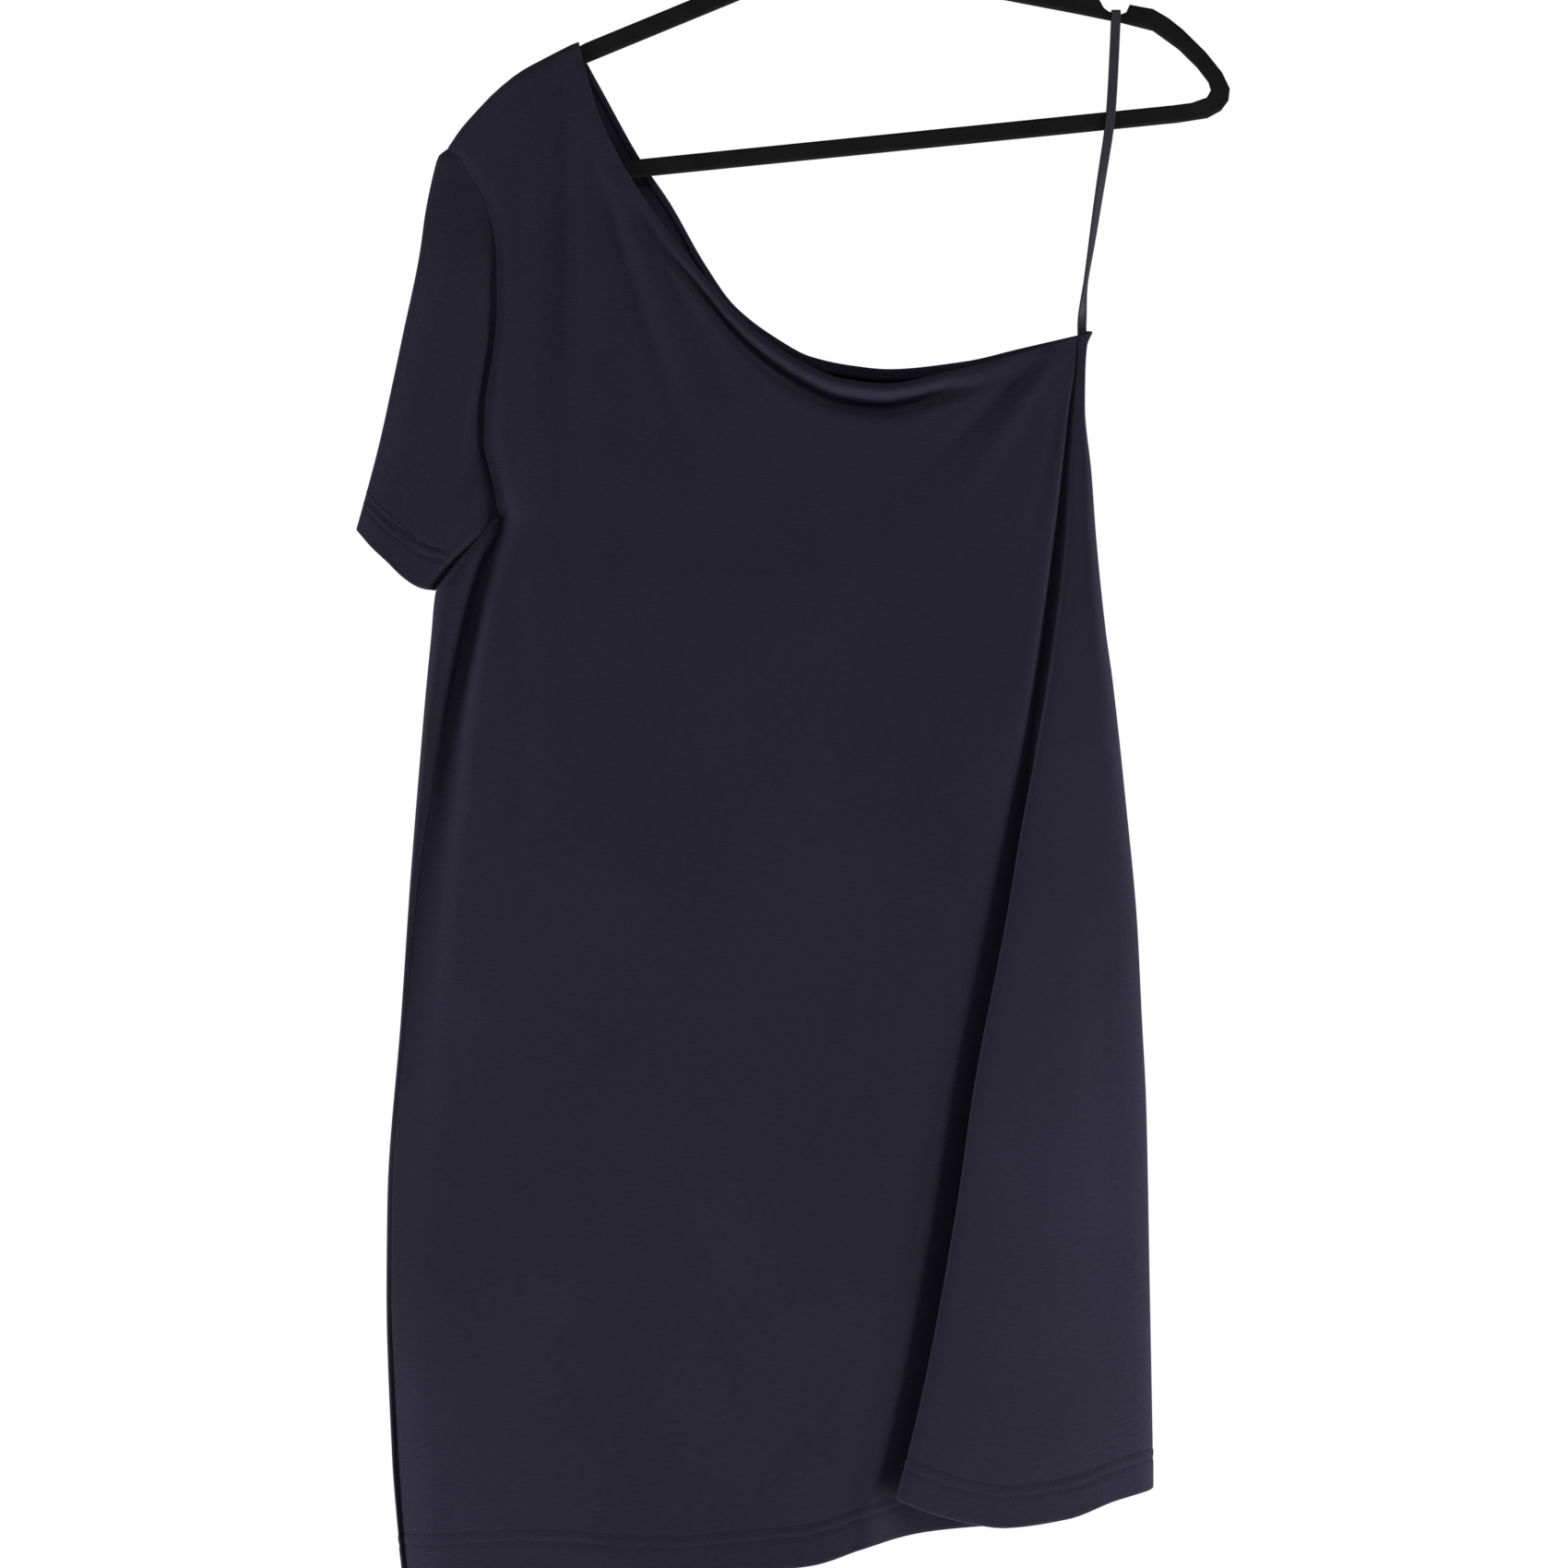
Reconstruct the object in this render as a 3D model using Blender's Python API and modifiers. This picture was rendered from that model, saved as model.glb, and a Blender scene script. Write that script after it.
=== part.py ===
"""One-shoulder jersey dress, hung by its shoulder and its hanging loop on a slim flocked hanger.

The scene is in metres with +Z up. The dress faces -Y, and the origin is where the hook bears on its rail.
The shapes are worked out in millimetres: x to the viewer's right, y away from the viewer and z up.
Every panel is a wall laid on a middle surface, which runs along level sections of the garment. Each
section is a smooth curve led by nodes, and the tables below say where those nodes lie at each height.
"""

import math

import bmesh
import bpy
import numpy as np
from mathutils import Vector

MM = 0.001
COLLECTION = "one_shoulder_dress_on_hanger"

WALL = 1.4
HALF_WALL = WALL / 2
SEAM_GAP = 0.3
SLEEVE_SEAM_GAP = 0.6

HANGER_TILT = math.radians(5.77)
HANGER_APEX = (7.6, -74.5)
HANGER_THICKNESS = 5.5
HANGER_ROUNDING = 1.4
ARM_SLOPE = math.radians(16.6)
ARM_HALF_WIDTH = 5.2
BAR_DROP = 109.0
BAR_HALF_WIDTH = 4.9
NOTCH_PLACE = 161.0
NOTCH_HALF_LENGTH = 8.5
NOTCH_DEPTH = 6.4
LEFT_SHOULDER_DROP = 5.2
BOSS_HALF_WIDTH = 6.5
BOSS_RISE = 9.0

HOOK_WIRE_RADIUS = 2.0
HOOK_INNER_RADIUS = 18.0
HOOK_ARC_START = -58.0
HOOK_ARC_END = 198.0
HOOK_ARC_STEP = 16.0

RIBBON_HALF_WIDTH = 2.5
RIBBON_THICKNESS = 1.0
RIBBON_STAND_OFF = 3.6

# Places along a section, from the edge or line they are named for
SEAM_FLAT = 3.0
SEAM_RISE = 10.0
PANEL_FROM_SEAM = 22.0
PANEL_FROM_ROLL = 12.0
FOLD_LAYER_GAP = 4.6
RIGHT_TURN = 4.0
BACK_FROM_TURN = 10.0
BACK_FROM_ARMHOLE = 36.0
BACK_FROM_OUTLINE = 18.0
SIDE_ROUND = 9.0

# Share by which the front falls back as it nears the right side, and by which the back does
FLAP_FALL = 0.38
BACK_FALL = 0.2

ARMPIT = (-175.3, -394.8)
BODY_ARMPIT_DROP = 2.7
NECK_POINT = (-130.5, -123.5)
NECK_STEPS = (0.0, 0.3, 0.6, 1.2, 3.2)
ARM_RISE = 0.415
HEM_LEVEL = -958.0
WRAP_FULL_BELOW = 11.0

# Distances below a panel's top edge, close together where it turns over the hanger or rolls, and then,
# as measured down its left edge, the rows of the armhole and those just below the armpit
EDGE_ROWS = (0.0, 0.4, 1.4, 3.0, 5.0, 8.0, 12.0, 17.0, 24.0, 36.0)
ARMHOLE_ROWS = (54.0, 74.0, 94.0, 116.0, 138.0, 160.0, 180.0, 196.0, 207.0, 214.7, 221.0, 231.0, 247.0)
SKIRT_ROWS = 11
SLEEVE_ROWS = 9
SLEEVE_TURN_STEPS = 4


class Rows:
    """A short table of named columns, read as smooth curves along its first column."""

    def __init__(self, names, *rows):
        ordered = np.array(sorted(rows), float)
        self.keys = ordered[:, 0]
        self.columns = dict(zip(names.split(), ordered.T))
        self.slopes = {name: self.tangents(values) for name, values in self.columns.items()}

    def tangents(self, values):
        """Slopes that never let the curve pass beyond the rows on either side of it."""
        steps = np.diff(values) / np.diff(self.keys)
        slopes = np.concatenate([steps[:1], np.zeros(len(steps) - 1), steps[-1:]])
        for i in range(1, len(steps)):
            before, after = steps[i - 1], steps[i]
            if before * after > 0:
                slopes[i] = 2 * before * after / (before + after)
        return slopes

    def at(self, name, key):
        """The column's value at this key, level past the first and last rows."""
        key = min(max(key, self.keys[0]), self.keys[-1])
        i = min(int(np.searchsorted(self.keys, key, side="right")) - 1, len(self.keys) - 2)
        span = self.keys[i + 1] - self.keys[i]
        f = (key - self.keys[i]) / span
        start, end = self.columns[name][i : i + 2]
        start_slope, end_slope = self.slopes[name][i : i + 2] * span
        rise = f * f * (3 - 2 * f)
        return (
            start + (end - start) * rise
            + start_slope * f * (1 - f) ** 2
            - end_slope * f * f * (1 - f)
        )


# Left edge of the front panel: the armhole, then the side seam in its trough
LEFT_EDGE = Rows(
    "z x y",
    (-110, -209, -4.4),
    (-183, -203.6, -4.6),
    (-190, -196.6, -4.7),
    (-202, -189.0, -4.9),
    (-215, -182.3, -5.0),
    (-243, -176.3, -5.4),
    (-275, -176.0, -5.8),
    (-299, -178.2, -6.0),
    (-331, -182.8, -6.3),
    (-350, -183.3, -6.5),
    (-369, -179.2, -6.5),
    (-386, -176.2, -6.0),
    (-393, -175.4, -3.8),
    (-397.5, -175.3, -0.9),
    (-404, -178.0, -2.2),
    (-412, -181.5, -3.6),
    (-431, -187.8, -5.0),
    (-477, -199.0, -5.8),
    (-516, -207.5, -6.8),
    (-558, -214.5, -7.5),
    (-600, -220.5, -8.0),
    (-672, -226.5, -8.0),
    (-777, -234.3, -8.0),
    (-829, -234.8, -8.0),
    (-881, -233.0, -8.0),
    (-955, -229.0, -8.0),
    (-990, -225.5, -8.0),
)

# Outline of the body on the viewer's left, from the armpit down
LEFT_OUTLINE = Rows(
    "z x",
    (-397.5, -175.3),
    (-401.2, -180.5),
    (-410.8, -190.4),
    (-423.2, -201.8),
    (-436.0, -209.8),
    (-459, -213.3),
    (-495, -217.4),
    (-594, -225.3),
    (-672, -230.5),
    (-777, -238.3),
    (-829, -238.8),
    (-922, -235.7),
    (-955, -233.1),
    (-990, -229.3),
)

# Outline on the viewer's right, from the corner that the loop holds down to the hem
RIGHT_OUTLINE = Rows(
    "z x",
    (-286.5, 160.7),
    (-295, 157.2),
    (-310, 156.2),
    (-329, 156.0),
    (-366, 159.6),
    (-402, 162.2),
    (-454, 167.4),
    (-485, 171.6),
    (-553, 178.9),
    (-620, 185.2),
    (-672, 187.8),
    (-724, 190.4),
    (-829, 192.4),
    (-916, 194.0),
)

# The wedge fold: where the panel rolls in, the flap's free edge, the tuck behind it, the panel's drop
# behind the roll, how far the flap stands in front of the panel, and how far the fold lies over (0 to 1)
WEDGE = Rows(
    "z roll edge tuck drop proud lie",
    (-286, 150.0, 152.6, 151.4, 0.4, 0.0, 0),
    (-310, 148.6, 151.4, 150.0, 2.0, -0.2, 0),
    (-329, 145.6, 149.7, 147.6, 3.6, -0.5, 0),
    (-360, 142.0, 147.3, 144.8, 6.0, -0.8, 0),
    (-402, 136.6, 144.9, 141.2, 9.0, -0.6, 0),
    (-485, 123.8, 134.6, 132.0, 11.0, 0.4, 0.15),
    (-568, 106.2, 118.9, 130.5, 12.0, 2.2, 0.75),
    (-620, 95.2, 110.0, 131.0, 12.5, 3.4, 1),
    (-709, 78.2, 92.6, 127.0, 13.0, 4.2, 1),
    (-777, 66.0, 82.6, 123.5, 13.0, 4.4, 1),
    (-869, 49.0, 65.9, 115.5, 13.0, 4.4, 1),
    (-945, 32.0, 47.7, 105.0, 12.0, 4.2, 1),
)

# How far the front and back panels stand from the hanger's plane, at their sides and between them
DEPTH = Rows(
    "z front_left front_right front_belly back_left back_right back_belly",
    (-120, 4.4, 3.4, 0.0, 4.4, 3.4, 0.0),
    (-205, 4.9, 3.4, 2.0, 4.6, 3.4, 0.5),
    (-256, 5.6, 3.4, 5.0, 5.0, 3.4, 1.0),
    (-293, 6.0, 3.4, 7.0, 5.5, 3.4, 2.0),
    (-310, 6.2, 3.7, 7.5, 5.6, 3.6, 2.5),
    (-330, 6.4, 4.6, 8.0, 5.8, 4.4, 3.0),
    (-360, 6.5, 6.5, 8.0, 6.0, 6.0, 4.0),
    (-395, 6.6, 9.0, 8.0, 6.5, 8.0, 5.0),
    (-485, 9.5, 14.0, 8.0, 9.0, 12.0, 6.0),
    (-570, 12.5, 18.0, 7.5, 12.0, 15.0, 6.0),
    (-672, 15.5, 21.0, 7.0, 15.0, 18.0, 6.0),
    (-830, 18.5, 24.0, 7.0, 18.0, 21.0, 6.0),
    (-990, 21.0, 27.0, 7.0, 21.0, 24.0, 6.0),
)

# Top edge of the front panel: the shoulder seam up the hanger's arm, then the neckline
FRONT_TOP = Rows(
    "x z",
    (-203.6, -182.8),
    (-195.6, -171.4),
    (-187.2, -162.0),
    (-179.4, -153.7),
    (-163.3, -140.4),
    (-150.8, -133.5),
    (-136.2, -126.0),
    (-130.5, -123.5),
    (-130.2, -124.2),
    (-129.9, -126.0),
    (-129.3, -129.5),
    (-127.3, -136.0),
    (-120.6, -161.0),
    (-106.0, -192.2),
    (-86.7, -222.4),
    (-64.3, -250.5),
    (-44.0, -275.0),
    (-27.9, -290.0),
    (-4.4, -305.6),
    (18.5, -314.8),
    (42.5, -317.6),
    (76.8, -310.9),
    (119.5, -299.5),
    (151.3, -290.1),
    (160.7, -287.0),
)

# Top edge of the back panel: the same shoulder seam, then a higher neckline
BACK_TOP = Rows(
    "x z",
    (-203.6, -182.8),
    (-195.6, -171.4),
    (-187.2, -162.0),
    (-179.4, -153.7),
    (-163.3, -140.4),
    (-150.8, -133.5),
    (-136.2, -126.0),
    (-130.5, -123.5),
    (-130.2, -124.2),
    (-129.9, -126.0),
    (-129.3, -128.5),
    (-127.3, -132.5),
    (-117.4, -150.5),
    (-96.6, -188.0),
    (-78.9, -214.1),
    (-59.6, -247.9),
    (-42.4, -272.0),
    (-16.4, -291.7),
    (0.3, -300.5),
    (23.7, -305.7),
    (45.1, -307.8),
    (87.8, -303.6),
    (119.5, -296.4),
    (160.7, -287.0),
)

FRONT_HEM = Rows(
    "x z",
    (-230, -986.0),
    (-150, -981.5),
    (-83, -984.5),
    (-33, -980.5),
    (0, -977.0),
    (36, -966.0),
    (65, -960.0),
    (108, -956.0),
)

FLAP_HEM = Rows(
    "x z",
    (47.0, -939.5),
    (67.0, -947.0),
    (91.0, -953.5),
    (108.0, -956.0),
    (144.5, -952.0),
    (171.0, -943.0),
    (194.0, -937.5),
)

BACK_HEM = Rows(
    "x z",
    (-230, -986.0),
    (-150, -983.0),
    (-50, -978.0),
    (50, -961.0),
    (130, -948.0),
    (194, -937.5),
)

# Soft folds of the front panel, each a line from one point to another with its half width and height.
# A ridge has a positive height and a trough a negative one.
FRONT_FOLDS = (
    dict(start=(-134, -150), end=(-132, -360), width=13, height=1.6),
    dict(start=(-112, -215), end=(-66, -390), width=12, height=1.8),
    dict(start=(-80, -262), end=(-44, -356), width=9, height=1.6),
    dict(start=(-97, -240), end=(-58, -370), width=8, height=-1.4),
    dict(start=(124, -312), end=(60, -360), width=9, height=1.6),
    dict(start=(141, -318), end=(124, -385), width=7, height=1.4),
    dict(start=(128, -330), end=(92, -400), width=8, height=-1.2),
    dict(start=(-206, -640), end=(-218, -900), width=11, height=2.4),
)

# The rolled neckline: a ridge just under the edge and a trough beneath it, fading out sideways
COWL = dict(middle=8.0, reach=78.0, ridge=2.4, ridge_at=4.5, ridge_width=4.5, trough=5.6,
            trough_at=12.0, trough_width=4.6)

# Organ-pipe folds of the back panel, which start below the shoulder blades and deepen to the hem
BACK_PIPES = dict(top=-420.0, bottom=-985.0, height=14.0, top_wave=96.0, bottom_wave=132.0,
                  top_middle=-10.0, bottom_middle=-28.0, clear_of_sides=34.0)

# Top fold and underarm fold of the sleeve, from the armhole (0) to the sleeve hem (1)
SLEEVE_TOP_FOLD = Rows(
    "t x z",
    (0.0, -203.6, -182.8),
    (0.03, -209.3, -187.6),
    (0.06, -211.0, -193.0),
    (0.17, -216.4, -218.0),
    (0.28, -220.0, -243.0),
    (0.47, -229.4, -287.5),
    (0.60, -235.2, -314.6),
    (0.76, -243.0, -349.5),
    (0.90, -250.8, -379.0),
    (1.0, -256.0, -397.9),
)

SLEEVE_UNDERARM = Rows(
    "t x z",
    (0.0, -175.3, -394.8),
    (0.12, -180.5, -398.6),
    (0.36, -190.4, -408.3),
    (0.66, -201.8, -420.5),
    (1.0, -210.7, -432.8),
)

SLEEVE_HEM = Rows(
    "s x z",
    (0.0, -256.0, -397.9),
    (0.22, -246.5, -408.5),
    (0.42, -237.5, -416.8),
    (0.62, -228.6, -425.4),
    (0.80, -220.6, -430.6),
    (1.0, -210.7, -432.8),
)

SLEEVE_HALF_DEPTH = Rows(
    "t top under",
    (0.0, 4.7, 6.5),
    (0.3, 5.6, 6.8),
    (0.7, 6.6, 7.0),
    (1.0, 7.2, 7.2),
)

# The front strand of the hanging loop, from inside the corner up to the notch, with its twist
RIBBON_ROUTE = (
    dict(x=154.0, z=-288.6, y=-0.95, twist=0),
    dict(x=153.8, z=-283.0, y=-1.1, twist=4),
    dict(x=154.4, z=-275.0, y=-2.1, twist=34),
    dict(x=155.7, z=-261.0, y=-3.4, twist=76),
    dict(x=158.6, z=-243.8, y=-3.5, twist=58),
    dict(x=162.2, z=-218.8, y=-3.6, twist=40),
    dict(x=166.1, z=-193.2, y=-3.6, twist=22),
    dict(x=169.2, z=-174.0, y=-3.6, twist=6),
    dict(x=170.6, z=-160.0, y=-3.6, twist=0),
    dict(x=172.0, z=-134.0, y=-3.6, twist=0),
    dict(x=173.1, z=-108.9, y=-3.6, twist=0),
)
RIBBON_TOP_TURN = 6
RIBBON_STEPS = 2


def smoothstep(value, start, end):
    """0 at start, 1 at end, with soft ends."""
    f = min(max((value - start) / (end - start), 0.0), 1.0)
    return f * f * (3 - 2 * f)


def spline_point(nodes, t):
    """Point at t, counted in nodes, of the cubic B-spline that starts and ends on its end nodes."""
    padded = np.vstack([2 * nodes[0] - nodes[1], nodes, 2 * nodes[-1] - nodes[-2]])
    i = min(int(t), len(nodes) - 2)
    f = t - i
    weights = ((1 - f) ** 3, 3 * f**3 - 6 * f**2 + 4, -3 * f**3 + 3 * f**2 + 3 * f + 1, f**3)
    return np.array(weights) @ padded[i : i + 4] / 6


def blend(first, second, share):
    return first * (1 - share) + second * share


def right_side(z):
    """Middle of the wall at the viewer's right."""
    return RIGHT_OUTLINE.at("x", z) - HALF_WALL


def left_side(z):
    """Middle of the wall at the viewer's left, below the armpit."""
    return LEFT_OUTLINE.at("x", z) + HALF_WALL


def depth(face, x, z):
    """How far the front or back panel stands from the hanger's plane."""
    start, end = LEFT_EDGE.at("x", z), right_side(z)
    s = min(max((x - start) / (end - start), 0.0), 1.0)
    sides = blend(DEPTH.at(face + "_left", z), DEPTH.at(face + "_right", z), s)
    return sides + DEPTH.at(face + "_belly", z) * math.sin(math.pi * s)


def evened(z):
    """How far the sides are one smooth round: 0 near the armpit, where they are drawn in, and 1 below."""
    return smoothstep(-z, 480, 740)


def valley_nodes(fold, panel_y, flap_y):
    """The wedge fold where it starts: an open valley between the panel's roll and the flap."""
    width = fold["edge"] - fold["roll"]
    bottom = panel_y + fold["drop"]
    down = [(0.0, 0.1), (0.1, 0.4), (0.2, 0.8), (0.35, 1.0)]
    nodes = [(fold["roll"] - 2, panel_y)]
    nodes += [(fold["roll"] + a * width, blend(panel_y, bottom, b)) for a, b in down]
    nodes += [(fold["roll"] + 0.5 * width, bottom + 0.05 * fold["drop"])]
    nodes += [(fold["edge"] - a * width, blend(flap_y, bottom, b)) for a, b in reversed(down)]
    nodes += [(fold["edge"] + 2, flap_y)]
    return np.array(nodes)


def lying_nodes(fold, panel_y, flap_y):
    """The wedge fold lower down: the panel passes behind the flap, turns in the tuck and comes back."""
    width = fold["edge"] - fold["roll"]
    over = fold["tuck"] - fold["edge"]
    behind = panel_y + fold["drop"]
    return np.array([
        (fold["roll"] - 5, panel_y),
        (fold["roll"] + 0.35 * width, blend(panel_y, behind, 0.2)),
        (fold["edge"] + 1, blend(panel_y, behind, 0.75)),
        (fold["edge"] + 0.5 * over, behind),
        (fold["tuck"], behind),
        (fold["tuck"] + 3, behind - FOLD_LAYER_GAP / 2),
        (fold["tuck"], behind - FOLD_LAYER_GAP),
        (fold["edge"] + 0.5 * over, behind - FOLD_LAYER_GAP - 1),
        (fold["edge"] + 2.5, flap_y + 3.6),
        (fold["edge"] - 2, flap_y + 2),
        (fold["edge"] + 2.5, flap_y),
    ])


PANEL_NODES = 7
WEDGE_NODES = 11
FLAP_NODES = 4
FIRST_WEDGE_NODE = 3 + PANEL_NODES
TUCK_NODE = FIRST_WEDGE_NODE + 5
EDGE_NODE = FIRST_WEDGE_NODE + 9
LAST_FRONT_NODE = FIRST_WEDGE_NODE + WEDGE_NODES + FLAP_NODES + 1


def front_nodes(z):
    """Nodes of the front panel's section at this height, from its left edge to the right side seam."""
    left, left_y = LEFT_EDGE.at("x", z), LEFT_EDGE.at("y", z)
    right = right_side(z)
    fold = {name: WEDGE.at(name, z) for name in ("roll", "edge", "tuck", "drop", "proud", "lie")}
    panel_y = -depth("front", fold["roll"], z)
    flap_y = panel_y - fold["proud"]
    near_seam = -depth("front", left + SEAM_RISE, z)
    even = evened(z)
    nodes = [
        (left + SEAM_GAP, left_y),
        (left + SEAM_FLAT, blend(left_y, near_seam, 0.22 * even)),
        (left + SEAM_RISE, blend(left_y, near_seam, 0.8 - 0.2 * even)),
    ]
    panel_xs = np.linspace(left + PANEL_FROM_SEAM, fold["roll"] - PANEL_FROM_ROLL, PANEL_NODES)
    nodes += [(x, -depth("front", x, z)) for x in panel_xs]
    valley = valley_nodes(fold, panel_y, flap_y)
    lying = lying_nodes(fold, panel_y, flap_y)
    nodes += list(blend(valley, lying, fold["lie"]))
    flap_start = fold["edge"] + 3
    turn = min(RIGHT_TURN, 0.3 * (right - flap_start))
    for x in np.linspace(flap_start, right - turn, FLAP_NODES + 1)[1:]:
        s = (x - flap_start) / (right - flap_start)
        nodes.append((x, blend(flap_y, -depth("front", right, z), s) * (1 - FLAP_FALL * even * s**3)))
    side = DEPTH.at("front_right", z)
    nodes += [(right, -blend(0.45, 0.34, even) * side), (right, -SEAM_GAP)]
    return np.array(nodes)


BACK_PANEL_NODES = 11
WRAP_NODES = 7
LAST_BACK_NODE = 2 + BACK_PANEL_NODES + WRAP_NODES


def back_nodes(z):
    """Nodes of the back panel's section, from the right side seam round the back to its left edge.

    Above the armpit it ends at the armhole. Below, it wraps forward round the left side to the seam."""
    right, edge_x, edge_y = right_side(z), LEFT_EDGE.at("x", z), LEFT_EDGE.at("y", z)
    side = DEPTH.at("back_right", z)
    turn = min(RIGHT_TURN, 0.3 * (right - WEDGE.at("edge", z)))
    even = evened(z)
    nodes = [
        (right, SEAM_GAP),
        (right, 0.45 * side),
        (right - turn, side * (1 - BACK_FALL * even)),
    ]
    outline = left_side(z)
    armpit = ARMPIT[1] - BODY_ARMPIT_DROP
    wrapped = smoothstep(-z, -armpit, -armpit + WRAP_FULL_BELOW)
    panel_end = blend(edge_x + BACK_FROM_ARMHOLE, outline + BACK_FROM_OUTLINE, wrapped)
    for x in np.linspace(right - turn - BACK_FROM_TURN, panel_end, BACK_PANEL_NODES):
        nodes.append((x, depth("back", x, z)))
    back = depth("back", outline + SIDE_ROUND, z)
    open_y = max(0.9, -edge_y)
    steps = (30, 24, 18, 12, 8, 3)
    straight = np.array([(edge_x + step, blend(open_y, back, step / steps[0])) for step in steps])
    width = edge_x - outline
    roll = min(SIDE_ROUND, 2 + 0.3 * (armpit - z))
    round_side = np.array([
        (outline + SIDE_ROUND, back),
        (outline + 2.5, 0.85 * back),
        (outline, 0.35 * back),
        (outline, -0.35 * roll),
        (outline + 0.35 * width, -roll * (1 - 0.2 * even)),
        (edge_x - min(2.5, 0.4 * width), edge_y),
    ])
    nodes += list(blend(straight, round_side, wrapped))
    nodes.append((edge_x - wrapped * SEAM_GAP, blend(open_y, edge_y, wrapped)))
    return np.array(nodes)


def soft_line(fold, x, z):
    """Height at x, z of one soft fold, which fades out at both ends and sideways."""
    (x0, z0), (x1, z1) = fold["start"], fold["end"]
    length = math.hypot(x1 - x0, z1 - z0)
    along = ((x - x0) * (x1 - x0) + (z - z0) * (z1 - z0)) / length
    across = ((x - x0) * (z1 - z0) - (z - z0) * (x1 - x0)) / length
    ends = max(0.0, 1 - (2 * along / length - 1) ** 2)
    return fold["height"] * ends * math.exp(-((across / fold["width"]) ** 2))


def cowl(x, below_edge):
    """The neckline's soft roll and the trough under it."""
    sideways = math.exp(-(((x - COWL["middle"]) / COWL["reach"]) ** 4))
    ridge = COWL["ridge"] * math.exp(-(((below_edge - COWL["ridge_at"]) / COWL["ridge_width"]) ** 2))
    trough = COWL["trough"] * math.exp(-(((below_edge - COWL["trough_at"]) / COWL["trough_width"]) ** 2))
    return sideways * (ridge - trough)


def pipes(x, z):
    """Height of the back panel's organ-pipe folds."""
    down = min(max((z - BACK_PIPES["top"]) / (BACK_PIPES["bottom"] - BACK_PIPES["top"]), 0.0), 1.0)
    wave = blend(BACK_PIPES["top_wave"], BACK_PIPES["bottom_wave"], down)
    middle = blend(BACK_PIPES["top_middle"], BACK_PIPES["bottom_middle"], down)
    clear = BACK_PIPES["clear_of_sides"]
    sides = smoothstep(x, left_side(z) + clear / 3, left_side(z) + 2 * clear)
    sides *= smoothstep(-x, -right_side(z) + clear / 3, -right_side(z) + 2 * clear)
    return BACK_PIPES["height"] * down * sides * math.cos(math.tau * (x - middle) / wave)


def turned_over_arm(x, y, z):
    """Brings a panel over the hanger's arm to the shoulder seam, whose line runs on up the arm."""
    line = FRONT_TOP.at("z", min(x, NECK_POINT[0])) + ARM_RISE * max(x - NECK_POINT[0], 0.0)
    down = min(max((line - z) / abs(y), 0.0), 1.0)
    return y * max(math.sqrt(1 - (1 - down) ** 2), SEAM_GAP / abs(y))


def column_top(nodes_at, top_edge, t):
    """Height at which column t of a panel meets its top edge, found by halving."""
    low, high = -340.0, -115.0
    while high - low > 0.01:
        z = (low + high) / 2
        if z > top_edge.at("z", spline_point(nodes_at(z), t)[0]):
            high = z
        else:
            low = z
    return (low + high) / 2


def column_at(nodes_at, last, x, z):
    """The column that passes through x at this height, found by halving."""
    nodes = nodes_at(z)
    rising = nodes[-1][0] > nodes[0][0]
    low, high = 0.0, float(last)
    while high - low > 0.0001:
        t = (low + high) / 2
        if (spline_point(nodes, t)[0] < x) == rising:
            low = t
        else:
            high = t
    return (low + high) / 2


def columns(nodes_at, top_edge, *stretches):
    """Column places along a section, as (from node, to node, step).

    Those near the neck point, where the shoulder seam meets the neckline, give way to a few close ones."""
    places = np.concatenate([np.arange(start, end - 0.001, step) for start, end, step in stretches])
    places = np.append(places, stretches[-1][1])
    neck_xs = [NECK_POINT[0] + step for step in NECK_STEPS]
    neck = [column_at(nodes_at, places[-1], x, top_edge.at("z", x)) for x in neck_xs]
    kept = [t for t in places if t < min(neck) - 0.25 or t > max(neck) + 0.25]
    return np.sort(np.array(kept + neck))


def heights(top, hem):
    """Heights of a column's points from its top edge to its hem."""
    left_length = FRONT_TOP.columns["z"][0] - FRONT_HEM.columns["z"][0]
    last = EDGE_ROWS[-1]
    skirt = np.linspace(ARMHOLE_ROWS[-1], left_length, SKIRT_ROWS + 1)[1:]
    shares = (np.concatenate([ARMHOLE_ROWS, skirt]) - last) / (left_length - last)
    return np.concatenate([top - np.array(EDGE_ROWS), top - last - shares * (top - last - hem)])


def front_hem(t):
    """Height of the front hem at column t: along the panel, back along the tuck, then along the flap."""
    x = spline_point(front_nodes(HEM_LEVEL), t)[0]
    if t <= TUCK_NODE:
        return FRONT_HEM.at("z", x)
    if t >= EDGE_NODE:
        return FLAP_HEM.at("z", x)
    tuck_x = spline_point(front_nodes(HEM_LEVEL), TUCK_NODE)[0]
    edge_x = spline_point(front_nodes(HEM_LEVEL), EDGE_NODE)[0]
    share = (tuck_x - x) / (tuck_x - edge_x)
    return blend(FRONT_HEM.at("z", tuck_x), FLAP_HEM.at("z", edge_x), share)


def front_point(t, z, top):
    x, y = spline_point(front_nodes(z), t)
    below_edge = top - z
    if t < FIRST_WEDGE_NODE:
        y -= sum(soft_line(fold, x, z) for fold in FRONT_FOLDS)
        y -= cowl(x, below_edge)
    return x, turned_over_arm(x, y, z), z


def back_point(t, z, _top):
    x, y = spline_point(back_nodes(z), t)
    if t < 2 + BACK_PANEL_NODES + 1:
        y += pipes(x, z)
    return x, turned_over_arm(x, y, z), z


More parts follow.
